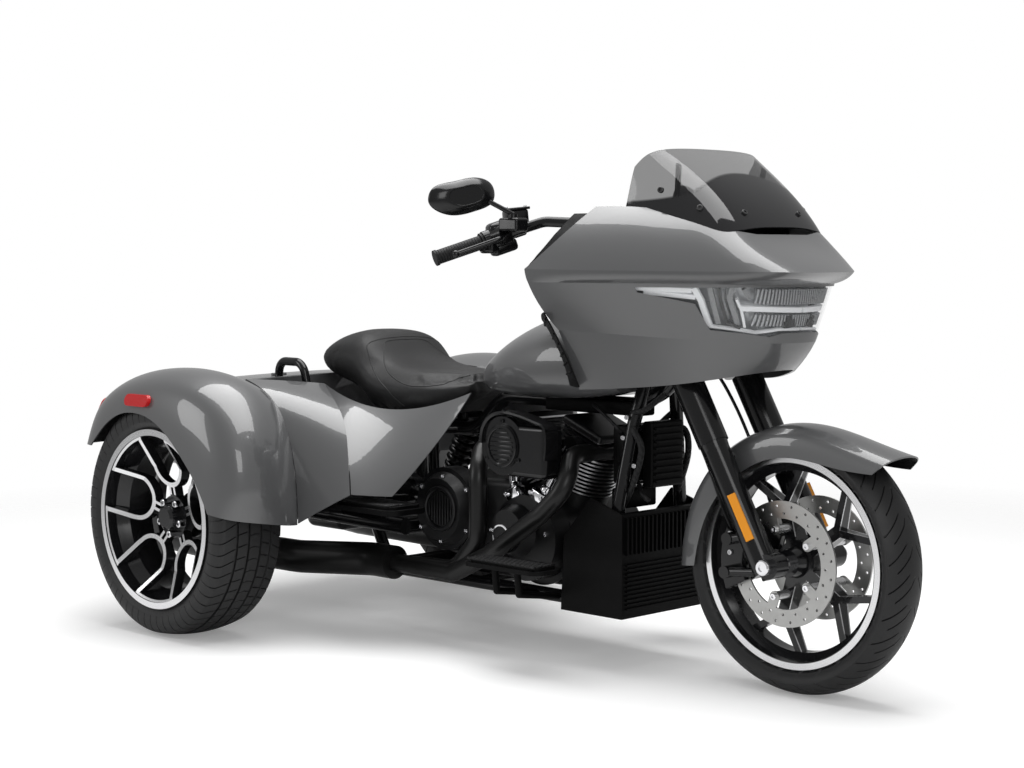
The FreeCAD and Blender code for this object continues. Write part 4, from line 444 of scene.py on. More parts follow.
def welded_copy(name, node, gap):
    """A new piece with a solid's mesh, its faces joined along their edges."""
    bpy.ops.object.select_all(action="DESELECT")
    piece = bpy.data.objects.new(name, nodes[node].data.copy())
    bpy.context.scene.collection.objects.link(piece)
    piece.select_set(True)
    bpy.context.view_layer.objects.active = piece
    bpy.ops.object.mode_set(mode="EDIT")
    bpy.ops.mesh.select_all(action="SELECT")
    bpy.ops.mesh.remove_doubles(threshold=gap)
    bpy.ops.object.mode_set(mode="OBJECT")
    return piece


def shaped(piece, kind, **settings):
    """Puts a modifier on a piece and applies it."""
    modifier = piece.modifiers.new(kind.lower(), kind)
    for key, value in settings.items():
        setattr(modifier, key, value)
    bpy.context.view_layer.objects.active = piece
    bpy.ops.object.modifier_apply(modifier=modifier.name)
    return piece


# copies of these two, for smoother shading of their pressed panels
for node, body in (("rear_body", "chassis"), ("boot_lid", "boot_lid")):
    shell = welded_copy(node + "_shell", node, 0.00002)
    settle(shell, 38)
    finish(shaped(shell, "WEIGHTED_NORMAL", keep_sharp=True), body, body_paint, [node])


def shell_paint(name, inside):
    """Lacquered grey outside, and bare plastic on the faces that look toward a place inside."""
    paint = Paint(name, BODY_GREY, 0.36)
    looks_out = 0.0
    for value, middle, way in zip(paint.axes(), inside, paint.axes("Normal")):
        looks_out = (value - middle) * way + looks_out
    outside = looks_out.over(0.0, 0.004)
    paint.put("Base Color", paint.blend(outside, BARE_PLASTIC, BODY_GREY))
    paint.put("Coat Weight", outside)
    paint.put("Roughness", outside * -0.16 + 0.52)
    lacquer(paint)
    return paint


dress(shell_paint("mudguard_paint", FRONT_AXLE), "front_mudguard")
for side in SIDES:
    dress(shell_paint("fender_paint_" + side, REAR_AXLES[side]), "rear_fender_" + side)
dress(shell_paint("fairing_paint", (0.55, 0.0, 1.0)), "fairing")

# Gloss black metal: the tube frame, fork, bars, clamps, calipers, rails and running gear, welded
# or cast, and coated with black powder before they are bolted together.
ENAMEL_BLACK = (0.006, 0.006, 0.0065)
gloss_black = Paint("gloss_black", ENAMEL_BLACK, 0.16, specular=0.38)
gloss_black.patches(40.0, 0.08, 0.12)
dress(gloss_black, "frame", "swing_arm", "rear_axle", "shocks", "triple_clamps", "fork_legs", "handlebar")
dress(gloss_black, "hand_controls", "brake_calipers", "grab_rails", "filler_cap", "air_cleaner")

# Engine: cast alloy in satin black enamel, with the fins' edges and the rocker boxes' feet machined
# bright. The parts are bolted together on the crankcase.
CRANK = Vector((0.1555, 0, 0.300))
CYLINDER_LEAN = math.radians(22.5)
FIN_EDGE = 0.0766
FOOT_TOP = 0.3148
MACHINED = (0.55, 0.55, 0.56)
engine_black = Paint("engine_black", ENAMEL_BLACK, 0.36, specular=0.3)
engine_black.patches(30.0, 0.1, 0.3)
engine_black.grain(1400.0, 0.0002)
dress(engine_black, "crankcase", "timer_cover", "gearbox_cover", "primary_cover", "cylinder_heads")


def engine_paint(name, bright_share):
    """Enamel, machined where bright_share says; it gets how far a place is up its own cylinder's
    axis, and how far off it. Both lean alike, so one sum does for both."""
    paint = Paint(name, ENAMEL_BLACK, 0.34, specular=0.3)
    x, y, z = paint.axes()
    ahead, above = abs(x - CRANK.x), z - CRANK.z
    up = ahead * math.sin(CYLINDER_LEAN) + above * math.cos(CYLINDER_LEAN)
    off = ahead * math.cos(CYLINDER_LEAN) - above * math.sin(CYLINDER_LEAN)
    share = bright_share(up, (off * off + y * y).math("SQRT"))
    paint.put("Base Color", paint.blend(share, ENAMEL_BLACK, MACHINED))
    paint.put("Metallic", share)
    paint.grain(1400.0, 0.0002)
    return paint


dress(engine_paint("cylinder_fins", lambda up, off: off.over(FIN_EDGE, 0.0004)), "cylinders")
dress(engine_paint("rocker_enamel", lambda up, off: up.under(FOOT_TOP, 0.0005)), "rocker_boxes")

# Exhaust: two headers, bent from steel tube and clamped to the heads, and a silencer at each side,
# all under a heat-proof black coat.
exhaust_black = Paint("exhaust_black", (0.005, 0.005, 0.005), 0.34, specular=0.3)
exhaust_black.patches(25.0, 0.14, 0.26)
dress(exhaust_black, "exhaust_headers", "silencers")

# Chrome: the front axle, clamped in the fork's feet, and the pushrod tubes between crankcase and
# heads. They are turned from steel, polished and plated.
chrome = Paint("chrome", (0.82, 0.82, 0.84), 0.08, metallic=1.0)
chrome.patches(90.0, 0.07, 0.045)
dress(chrome, "front_axle", "pushrod_tubes")

# Satin plastic: cowl, footboards, dash, lining panels and brackets, moulded in black with a fine
# grain and screwed to the frame or the fairing.
satin_plastic = Paint("satin_plastic", (0.0018, 0.0018, 0.0019), 0.5, specular=0.10)
satin_plastic.patches(60.0, 0.15, 0.42)
satin_plastic.grain(1100.0, 0.0002)
dress(satin_plastic, "radiator_cowl", "oil_cooler", "rider_footboards", "passenger_footboards")
dress(satin_plastic, "inner_fairing", "fairing_liner", "plate_bracket")

# Lenses: the headlamp's clear cover, amber reflectors on the fork legs and red lamps on the rear
# fenders, moulded in plastic. The cover is clipped to its housing and the others are bonded on.
clear = Paint("clear_lens", (0.5, 0.51, 0.52), 0.03, alpha=0.07)
clear.patches(45.0, 0.04, 0.01)
dress(clear, "headlamp_lens")
amber = Paint("amber_lens", (0.85, 0.32, 0.02), 0.15)
amber.grain(420.0, 0.0004, 0.0)
dress(amber, "fork_reflectors")
red = Paint("red_lens", (0.5, 0.01, 0.012), 0.12)
red.grain(420.0, 0.0004, 0.0)
dress(red, "rear_lamps")

# Fasteners: turned steel screws with a hexagon socket, driven square into what they hold: the
# discs' bolts, the rear wheels' lug nuts and the screws of the engine's covers.
SUNK = 0.002
BOTH = (-1, 1)


def united(name, parts, body, paint):
    """Makes many parts one finished piece."""
    bpy.ops.object.select_all(action="DESELECT")
    for part in parts:
        part.select_set(True)
    bpy.context.view_layer.objects.active = parts[0]
    if len(parts) > 1:
        bpy.ops.object.join()
    piece = bpy.context.object
    piece.name = name
    settle(piece)
    finish(piece, body, paint)


def bevelled(piece, width, segments=2):
    return shaped(piece, "BEVEL", width=width, segments=segments, limit_method="ANGLE")


def screw(place, direction, radius, height, sides=20):
    """A round head, with its socket sunk in; sides=6 makes a nut."""
    head = fresh(bpy.ops.mesh.primitive_cylinder_add, vertices=sides, radius=radius, depth=height + SUNK)
    bpy.ops.object.mode_set(mode="EDIT")
    bpy.ops.mesh.select_all(action="DESELECT")
    bpy.ops.object.mode_set(mode="OBJECT")
    for face in head.data.polygons:
        face.select = face.normal.z > 0.9
    bpy.ops.object.mode_set(mode="EDIT")
    bpy.ops.mesh.inset(thickness=radius * 0.14)
    bpy.ops.transform.translate(value=(0, 0, radius * 0.1))
    bpy.ops.mesh.inset(thickness=radius * 0.36)
    bpy.ops.mesh.extrude_region_move(TRANSFORM_OT_translate={"value": (0, 0, -height * 0.55)})
    bpy.ops.object.mode_set(mode="OBJECT")
    lift = (height - SUNK) / 2
    head.location = Vector(place) + Vector(direction).normalized() * lift
    head.rotation_euler = Vector(direction).to_track_quat("Z", "Y").to_euler()
    return head


def screws(name, body, paint, rows):
    united(name, [screw(*row) for row in rows], body, paint)


def met(node, start, direction):
    """Where a line first meets a solid and the way that its surface faces there, or nothing."""
    found, place, normal, face = nodes[node].ray_cast(Vector(start), Vector(direction).normalized())
    return (place, normal) if found else ()


def struck(node, start, direction):
    """The same for a line that is meant to meet it."""
    hit = met(node, start, direction)
    if not hit:
        raise ValueError("nothing of " + node + " from " + str(start))
    return hit


def ring_of(centre, radius, count, first):
    """Places round a centre, in the plane square to Y, from a first angle in degrees."""
    x, y, z = centre
    turns = [math.radians(first + 360 * k / count) for k in range(count)]
    return [(x + radius * math.cos(a), y, z + radius * math.sin(a)) for a in turns]


steel = Paint("zinc_steel", (0.56, 0.56, 0.57), 0.3, metallic=1.0)
steel.patches(400.0, 0.2, 0.2)
black_zinc = Paint("black_zinc", (0.02, 0.02, 0.021), 0.35)
black_zinc.grain(900.0, 0.0001)

disc_bolts = []
for side in BOTH:
    for place in ring_of((FRONT_AXLE.x, side * 0.0745, FRONT_AXLE.z), 0.084, 5, 36):
        disc_bolts.append((place, (0, side, 0), 0.0085, 0.006))
screws("disc_bolts", "front_wheel", chrome, disc_bolts)

for side, out in SIDES.items():
    rows = []
    for x, y, z in ring_of(REAR_AXLES[side], 0.047, 5, 54):
        place = struck("rear_rim_" + side, (x, y + out * 0.3, z), (0, -out, 0))[0]
        rows.append((place, (0, out, 0), 0.0105, 0.018, 6))
    screws("lug_nuts_" + side, "rear_wheel_" + side, chrome, rows)

GEARBOX_HOLES = (
    (-0.055, 0.42), (-0.13, 0.452), (-0.205, 0.42), (-0.205, 0.31), (-0.13, 0.277), (-0.055, 0.31)
)
TIMER_HOLES = ((0.10, 0.25), (0.215, 0.25), (0.235, 0.33), (0.075, 0.33))
cover_screws = []
for node, side, radius, holes in (
    ("gearbox_cover", -1, 0.0062, GEARBOX_HOLES),
    ("timer_cover", -1, 0.0058, TIMER_HOLES),
    ("primary_cover", 1, 0.0062, ((-0.21, 0.43), (0.0, 0.25))),
):
    for x, z in holes:
        place = struck(node, (x, side, z), (0, -side, 0))[0]
        cover_screws.append((place, (0, side, 0), radius, 0.006))
screws("cover_screws", "chassis", chrome, cover_screws)

# Headlamp: a silvered housing behind a clear lens. White light guides with a faint painted glow
# follow the lens's outline, a long blade of two bars runs back at each side, and ribbed
# reflectors fill the middle.
silver = Paint("lamp_silver", (0.42, 0.43, 0.44), 0.3, metallic=0.6)
silver.patches(80.0, 0.15, 0.22)
guide_white_painted_glow = Paint("light_guide", (0.80, 0.81, 0.82), 0.25)
# a faint emission paints a glow onto the guides, making them brighter than the lamps light them
guide_white_painted_glow.put("Emission Color", (0.94, 0.96, 1, 1))
guide_white_painted_glow.put("Emission Strength", 0.12)
guide_white_painted_glow.grain(700.0, 0.0002, 0.0)
guide_grey = Paint("guide_grey", (0.24, 0.245, 0.25), 0.3, metallic=0.4)
guide_grey.patches(200.0, 0.15, 0.25)
lamp_black = Paint("lamp_black", (0.008, 0.008, 0.009), 0.25)
lamp_black.patches(200.0, 0.1, 0.2)
dress(silver, "headlamp_housing")
LENS_WALL = 0.0052
RIB_PITCH = 0.009
RIB = (0.0048, 0.0085, 0.0135)


def heading(path, k, closed=False):
    """Which way a path runs at its kth place."""
    if closed:
        return (path[(k + 1) % len(path)] - path[k - 1]).normalized()
    return (path[min(k + 1, len(path) - 1)] - path[max(k - 1, 0)]).normalized()


def draped_bar(path, width, depth, thick):
    """A bar that follows a path of (y, z) places, at a depth behind the lens."""
    steps = []
    for (y0, z0), (y1, z1) in zip(path, path[1:]):
        count = max(1, round(math.hypot(y1 - y0, z1 - z0) / 0.008))
        steps += [(y0 + (y1 - y0) * k / count, z0 + (z1 - z0) * k / count) for k in range(count)]
    steps.append(path[-1])
    surface = [struck("headlamp_lens", (3, y, z), (-1, 0, 0)) for y, z in steps]
    line = [place for place, normal in surface]
    rings = []
    for k, (place, normal) in enumerate(surface):
        aside = heading(line, k).cross(normal).normalized() * width / 2
        front, back = place - normal * depth, place - normal * (depth + thick)
        rings.append([front + aside, front - aside, back - aside, back + aside])
    return lofted("bar", rings)


def both_bars(name, paint, rows):
    """Bars at both sides. A row is a path, the bar's width, its depth in the lamp and its thickness."""
    bars = []
    for path, *sizes in rows:
        bars.append(draped_bar(path, *sizes))
        bars.append(draped_bar([(-y, z) for y, z in path], *sizes))
    united(name, bars, "chassis", paint)


LIGHT_GUIDES = (
    ([(0.294, 0.966), (0.236, 0.960)], 0.012, LENS_WALL, 0.008),
    ([(0.282, 0.956), (0.226, 0.944)], 0.011, LENS_WALL, 0.008),
    ([(0.236, 0.966), (0.217, 0.936), (0.187, 0.877)], 0.014, LENS_WALL, 0.010),
    ([(0.187, 0.876), (0.120, 0.861), (0.072, 0.869), (0.004, 0.869)], 0.0055, LENS_WALL, 0.010),
    ([(0.162, 0.917), (0.004, 0.914)], 0.012, 0.009, 0.012),
    ([(0.174, 0.938), (0.158, 0.912), (0.140, 0.872)], 0.006, 0.009, 0.012),
)
both_bars("light_guides", guide_white_painted_glow, LIGHT_GUIDES)
LAMP_FRAMES = (
    ([(0.219, 0.966), (0.204, 0.936), (0.178, 0.881)], 0.012, 0.008, 0.010),
    ([(0.190, 0.966), (0.184, 0.938), (0.160, 0.893), (0.152, 0.876)], 0.013, 0.012, 0.012),
    ([(0.168, 0.962), (0.150, 0.938)], 0.012, 0.014, 0.012),
)
both_bars("lamp_frames", guide_grey, LAMP_FRAMES)
LAMP_SHADOWS = (
    ([(0.207, 0.966), (0.195, 0.936), (0.169, 0.884), (0.146, 0.871)], 0.006, 0.007, 0.012),
    ([(0.199, 0.966), (0.190, 0.938), (0.165, 0.890)], 0.003, 0.010, 0.012),
    ([(0.047, 0.902), (0.040, 0.876)], 0.016, 0.006, 0.006),
    ([(0.044, 0.890), (0.040, 0.873)], 0.034, 0.0065, 0.006),
)
both_bars("lamp_shadows", lamp_black, LAMP_SHADOWS)
ribs = []
for k in range(16):
    y = RIB_PITCH * (k + 0.5)
    ribs.append(([(y, 0.964), (y, 0.928)], *RIB))
    if k < 15:
        ribs.append(([(y, 0.903), (y, 0.876)], *RIB))
both_bars("lamp_ribs", silver, ribs)

# Windscreen: moulded smoked polycarbonate, printed black low down, where it would show its fixings.
# Six black screws hold it to the fairing.
PRINT_TOP = 1.242
PRINT_BOW = 1.3
smoked = Paint("smoked_screen", (0.012, 0.012, 0.013), 0.04)
smoked.patches(30.0, 0.04, 0.02)
x, y, z = smoked.axes()
printed = (z - (PRINT_TOP - y * y * PRINT_BOW)).under(0.0, 0.006)
smoked.put("Alpha", printed * 0.5 + 0.5)
dress(smoked, "windscreen")
screen_screws = []
for side in BOTH:
    for start, toward in (
        ((0.661, side, 1.199), (0, -side, 0)),
        ((0.764, side, 1.155), (0, -side, 0)),
        ((0.82, side * 0.105, 3), (0, 0, -1)),
    ):
        screen_screws.append((*struck("windscreen", start, toward), 0.0075, 0.004))
screws("screen_screws", "chassis", black_zinc, screen_screws)

# Engine fittings: cast lifter blocks, each screwed to the crankcase under its cylinder, and the
# turned collars that seal the pushrod tubes above them, all plated in chrome.
LIFTER_SPREAD = 0.046
COLLAR = [
    (0.0092, -0.008), (0.0135, -0.008), (0.0145, -0.006), (0.0145, 0.006), (0.0135, 0.008),
    (0.0092, 0.008),
]


def rounded_box(centre, size, round_off, segments=2, along=(1, 0, 0)):
    """A box with rounded edges, its length turned to run along a direction."""
    box = fresh(bpy.ops.mesh.primitive_cube_add, size=1, location=centre)
    box.scale = size
    bpy.ops.object.transform_apply(location=False, rotation=False, scale=True)
    box.rotation_euler = Vector(along).to_track_quat("X", "Z").to_euler()
    return bevelled(box, round_off, segments)


def turned_ring(centre, along, profile, steps=48):
    """A ring turned from (radius, height) places round an axis."""
    up = Vector(along).normalized()
    side = up.orthogonal().normalized()
    other = up.cross(side)
    rings = []
    for k in range(steps):
        a = math.tau * k / steps
        out = side * math.cos(a) + other * math.sin(a)
        rings.append([Vector(centre) + out * r + up * h for r, h in profile])
    return lofted("ring", rings, closed=True)


fittings = []
for sign in BOTH:
    middle = CRANK.x + sign * LIFTER_SPREAD
    along = (math.cos(CYLINDER_LEAN), 0, -sign * math.sin(CYLINDER_LEAN))
    fittings.append(rounded_box((middle, -0.152, 0.424), (0.050, 0.034, 0.030), 0.005, 3, along))
    for offset in (-0.018, 0.018):
        place = (middle + offset, -0.169, 0.428 - sign * offset * 0.4)
        fittings.append(screw(place, (0, -1, 0), 0.0055, 0.006))
    foot = Vector((middle, -0.150, 0.420))
    top = Vector((CRANK.x + sign * 0.115, -0.110, 0.553))
    for share in (0.16, 0.55):
        fittings.append(turned_ring(foot.lerp(top, share), top - foot, COLLAR, 24))
united("engine_fittings", fittings, "chassis", chrome)

# Air cleaner: a moulded black box with a slatted grille in a turned ring, held on by three screws
# round it. A thin hood is pressed over its top and bent down at the front.
AIR_FACE = Vector((0.1455, -0.240, 0.556))
HOOD_ARCH = [
    (0.072, 0.560), (0.0755, 0.588), (0.089, 0.614), (0.113, 0.633), (0.145, 0.6415),
    (0.185, 0.6395), (0.225, 0.633), (0.262, 0.624), (0.296, 0.613), (0.304, 0.580),
    (0.300, 0.530),
]
HOOD_SECTION = ((-0.004, -0.044), (0.000, -0.047), (0.0045, -0.045), (0.005, 0.0), (0.0, 0.0))


def rim(radii, heights):
    """A ring's profile with both of its upper edges cut off."""
    foot, edge, top = heights
    return list(zip((radii[0], *radii, radii[3]), (foot, edge, top, top, edge, foot)))


def chord(radius, off, short):
    """A bar's length across a round opening, a little short at both ends."""
    return 2 * (math.sqrt(radius**2 - off**2) - short)


def smooth_path(points, steps):
    """A smooth curve through the points."""
    ends = [points[0]] + points + [points[-1]]
    drawn = []
    for k in range(1, len(ends) - 2):
        a, b, c, d = (Vector(p) for p in ends[k - 1 : k + 3])
        for n in range(steps):
            t = n / steps
            place = 2 * b + (c - a) * t + (2 * a - 5 * b + 4 * c - d) * t**2
            drawn.append((place + (3 * b - a - 3 * c + d) * t**3) / 2)
    return drawn + [Vector(points[-1])]


air_rim = rim((0.045, 0.0468, 0.052, 0.0545), (-0.001, 0.003, 0.0048))
air_parts = [turned_ring(AIR_FACE, (0, -1, 0), air_rim, 64)]
for k in range(7):
    height = (k - 3) * 0.0115
    slat = (chord(0.044, height, 0.003), 0.0036, 0.0052)
    air_parts.append(rounded_box(AIR_FACE + Vector((0, -0.0008, height)), slat, 0.0012))
for x, y, z in ring_of(AIR_FACE, 0.0655, 3, 90):
    air_parts.append(screw(struck("air_cleaner", (x, -1, z), (0, 1, 0))[0], (0, -1, 0), 0.006, 0.004))
arch_line = smooth_path([(x, -0.2, z) for x, z in HOOD_ARCH], 4)
hood_rings = []
for k, place in enumerate(arch_line):
    along = heading(arch_line, k)
    out = Vector((-along.z, 0, along.x))
    hood_rings.append([place + out * lift + Vector((0, depth, 0)) for lift, depth in HOOD_SECTION])
air_parts.append(lofted("hood", hood_rings))
united("air_cleaner_trim", air_parts, "chassis", gloss_black)

# Timer ring: a thin ring, turned from steel and chromed, that is pressed into the timer cover
# round its plain face.
timer_rim = rim((0.026, 0.0272, 0.031, 0.0322), (-0.001, 0.002, 0.003))
timer_ring = turned_ring((0.108, -0.205, 0.315), (0, -1, 0), timer_rim)
united("timer_ring", [timer_ring], "chassis", chrome)

# Clutch cap: a round cover cast with a raised rim and nine upright ribs, set inside the ring of
# screws and finished like the engine.
CLUTCH_FACE = Vector((-0.13, -0.196, 0.365))
clutch_rim = rim((0.050, 0.0525, 0.059, 0.0615), (-0.001, 0.006, 0.0085))
cap_parts = [turned_ring(CLUTCH_FACE, (0, -1, 0), clutch_rim, 64)]
for k in range(9):
    across = (k - 4) * 0.0105
    cap_rib = (0.0046, 0.006, chord(0.049, across, 0.004))
    cap_parts.append(rounded_box(CLUTCH_FACE + Vector((across, -0.0015, 0)), cap_rib, 0.0014))
united("clutch_cap", cap_parts, "chassis", engine_black)

# Seat: foam under grained black vinyl, which is sewn from three panels with welts along the seams
# and drawn down onto the pan.
seat_vinyl = Paint("seat_vinyl", (0.0095, 0.0095, 0.010), 0.46, specular=0.32)
seat_vinyl.patches(22.0, 0.12, 0.40)
vinyl_place = seat_vinyl.vector()
grain = seat_vinyl.node("TexVoronoi", {"feature": "DISTANCE_TO_EDGE"}, Vector=vinyl_place, Scale=520.0)
seat_vinyl.bump(Sock(seat_vinyl.tree, grain.outputs[0]).math("MINIMUM", 0.25), 0.0006)
FOAM_INSET = 0.007
FOAM_SWELL = 0.012
seat = welded_copy("seat_cushion", "seat", 0.0001)
shaped(seat, "REMESH", mode="VOXEL", voxel_size=0.007)
for vertex, normal in zip(seat.data.vertices, [v.normal.copy() for v in seat.data.vertices]):
    vertex.co -= normal * FOAM_INSET
start = [vertex.co.copy() for vertex in seat.data.vertices]
padding = seat.modifiers.new("padding", "CLOTH")
padding.settings.use_pressure = True
padding.settings.uniform_pressure_force = 4
padding.settings.effector_weights.gravity = 0
padding.settings.tension_stiffness = 30
for step in range(1, 21):
    bpy.context.scene.frame_set(step)
bpy.ops.object.modifier_apply(modifier="padding")
bpy.context.scene.frame_set(1)
for vertex, was in zip(seat.data.vertices, start):
    moved = vertex.co - was
    if moved.length > FOAM_SWELL:
        vertex.co = was + moved * (FOAM_SWELL / moved.length)
shaped(seat, "SUBSURF", levels=1, render_levels=1)
finish(seat, "chassis", seat_vinyl, ["seat"])
bpy.ops.object.shade_smooth()

REAR_SEAM = [
    (-0.508, 0.000, 0.800), (-0.503, 0.080, 0.798), (-0.496, 0.135, 0.792), (-0.477, 0.150, 0.772),
    (-0.446, 0.166, 0.742), (-0.397, 0.190, 0.706), (-0.359, 0.202, 0.676), (-0.330, 0.198, 0.646),
    (-0.300, 0.184, 0.622),
]
BUCKET_SEAM = [
    (-0.492, 0.000, 0.802), (-0.488, 0.073, 0.798), (-0.466, 0.100, 0.772), (-0.436, 0.126, 0.745),
    (-0.379, 0.158, 0.718), (-0.304, 0.176, 0.698), (-0.250, 0.168, 0.698), (-0.205, 0.140, 0.706),
    (-0.178, 0.090, 0.716), (-0.168, 0.000, 0.718),
]
WELT_RADIUS = 0.0018
WELT_SUNK = 0.0006


def hose(path, radius, sides=12, closed=False):
    """A round tube along a curve."""
    turns = [math.tau * n / sides for n in range(sides)]
    rings = []
    for k, place in enumerate(path):
        along = heading(path, k, closed)
        side = along.cross(Vector((0.13, 0.2, 1))).normalized()
        other = along.cross(side)
        rings.append([place + (side * math.cos(a) + other * math.sin(a)) * radius for a in turns])
    return lofted("tube", rings, closed)


welts = []
for seam, closed in ((REAR_SEAM, False), (BUCKET_SEAM, True)):
    half = smooth_path(seam, 8)
    whole = [Vector((p.x, -p.y, p.z)) for p in half[:0:-1]] + half
    sewn = []
    for place in whole[:-1] if closed else whole:
        on_seat, normal = seat.closest_point_on_mesh(place)[1:3]
        sewn.append(on_seat - normal * WELT_SUNK)
    welts.append(hose(sewn, WELT_RADIUS, 10, closed))
united("seat_welts", welts, "chassis", seat_vinyl)

# Grips: ribbed rubber sleeves pushed over the bar's ends. The ribs run square to the bar, which
# slants back, out and down at each side.
BAR_END = Vector((0.190, 0.316, 1.086))
BAR_RUN = Vector((0.445, -0.838, 0.314))
grip_rubber = Paint("grip_rubber", (0.008, 0.008, 0.0085), 0.55, specular=0.3)
x, y, z = grip_rubber.axes()
along_grip = x * BAR_RUN.x + abs(y) * BAR_RUN.y + z * BAR_RUN.z
grip_rubber.patches(120.0, 0.15, 0.45)
grip_rubber.bump((along_grip * 900.0).math("SINE").math("MAXIMUM", 0.0), 0.0012)
dress(grip_rubber, "grips")

# Switch housings: two moulded halves clamped round the bar inside each grip, a fluid reservoir
# with a screwed cap beyond them, and the rubber buttons.
RESERVOIR_RISE = 0.09
BUTTON = (0.011, 0.008, 0.015)
UP = Vector((0, 0, 1))
housings = []
buttons = []
cap_screws = []
for side in BOTH:
    inward = Vector((BAR_RUN.x, side * BAR_RUN.y, BAR_RUN.z))
    above = (UP - inward * inward.z).normalized()
    ahead = inward.cross(above) * side
    clamp = Vector((BAR_END.x, side * BAR_END.y, BAR_END.z)) + inward * 0.022
    perch = clamp + inward * 0.050 + ahead * 0.012
    level = Vector((inward.x, inward.y, RESERVOIR_RISE)).normalized()
    lid = perch + ahead * 0.012 + UP * 0.053
    for place, size, along, round_off in (
        (clamp + above * 0.006, (0.056, 0.056, 0.062), inward, 0.013),
        (clamp - above * 0.029 + ahead * 0.004, (0.068, 0.046, 0.032), inward, 0.010),
        (perch + above * 0.004, (0.036, 0.042, 0.044), inward, 0.006),
        (lid - UP * 0.0235, (0.058, 0.046, 0.042), level, 0.006),
        (lid, (0.062, 0.050, 0.007), level, 0.002),
    ):
        housings.append(rounded_box(place, size, round_off, 3, along))
    for step in (-0.016, 0.0, 0.016):
        place = clamp + inward * step + above * 0.008 - ahead * 0.028
        buttons.append(rounded_box(place, BUTTON, 0.002, 3, inward))
    for step in (-0.025, 0.025):
        cap_screws.append((lid + level * step + UP * 0.0035, UP, 0.004, 0.003))
united("switch_housings", housings, "steering", gloss_black)
united("switch_buttons", buttons, "steering", grip_rubber)
screws("reservoir_screws", "steering", steel, cap_screws)

# Brakes and fork: bolts through the caliper halves, chrome nuts on the axle's ends, and a rubber
# hose that comes down behind each leg to its caliper.
BRAKE_ROUTE = (
    (0.776, 0.086, 0.388), (0.752, 0.092, 0.440), (0.706, 0.096, 0.545),
    (0.655, 0.098, 0.640), (0.612, 0.090, 0.715), (0.590, 0.070, 0.760),
)
fork_bolts = []
for side in BOTH:
    for x, z in ((0.774, 0.285), (0.780, 0.335), (0.780, 0.380)):
        place = struck("brake_calipers", (x, side, z), (0, -side, 0))[0]
        fork_bolts.append((place, (0, side, 0), 0.0065, 0.005))
screws("caliper_bolts", "steering", steel, fork_bolts)
nuts = [((FRONT_AXLE.x, side * 0.152, FRONT_AXLE.z), (0, side, 0), 0.0185, 0.006) for side in BOTH]
screws("axle_nuts", "steering", chrome, nuts)
routes = [[(x, side * y, z) for x, y, z in BRAKE_ROUTE] for side in BOTH]
hoses = [hose(smooth_path(route, 6), 0.0042) for route in routes]
united("brake_hoses", hoses, "steering", grip_rubber)

# Footboards: ribbed rubber pads pressed into the steel boards, six ribs to each of the rider's
# and the passenger's.
PAD_EDGE = 0.0015
pads = []
for side in BOTH:
    for k in range(6):
        place = (0.266, side * (0.303 + 0.012 * k), 0.2808)
        pads.append(rounded_box(place, (0.236, 0.0065, 0.0056), PAD_EDGE))
    for k in range(6):
        place = (-0.225, side * (0.318 + 0.011 * k), 0.3848)
        pads.append(rounded_box(place, (0.170, 0.006, 0.0056), PAD_EDGE))
united("footboard_pads", pads, "chassis", grip_rubber)

# Lining panels: a rolled bead along the top of each and raised louvres under it, moulded in the
# same black plastic as the panel.
LINER_OUT = 0.400
LINER_TOP = 0.900
LINER_SLOPE = 0.115
INSETS = [0.013 * k for k in range(19)]
liner_parts = []
for side in BOTH:
    for drop, radius in [(0.006, 0.0045)] + [(0.040 + 0.022 * k, 0.0028) for k in range(5)]:
        starts = [(-1, side * (LINER_OUT - s), LINER_TOP - s * LINER_SLOPE - drop) for s in INSETS]
        hits = [met("fairing_liner", start, (1, 0, 0)) for start in starts]
        on_panel = [hit[0] for hit in hits if hit]
        if len(on_panel) > 5:
            liner_parts.append(hose(on_panel, radius, 8))
united("liner_louvres", liner_parts, "chassis", satin_plastic)

# Inner cheeks: black moulded flanges screwed inside the fairing's rear edges, which stand out
# behind the painted skin beside the bars.
cheeks = []
for side in BOTH:
    rings = []
    for k in range(17):
        height = 1.010 + 0.0085 * k
        starts = [(-1, side * (0.402 - 0.002 * step), height) for step in range(90)]
        hits = (met("fairing", start, (1, 0, 0)) for start in starts)
        edge = next(hit[0] for hit in hits if hit)
        reach = 0.006 + 0.050 * (k / 16) ** 0.8
        section = (
            (0.012, 0.0075), (-reach, 0.012), (-reach - 0.002, 0.015), (-reach, 0.018), (0.012, 0.015)
        )
        rings.append([edge + Vector((back, -side * inset, 0)) for back, inset in section])
    cheeks.append(lofted("cheek", rings))
united("fairing_cheeks", cheeks, "chassis", satin_plastic)

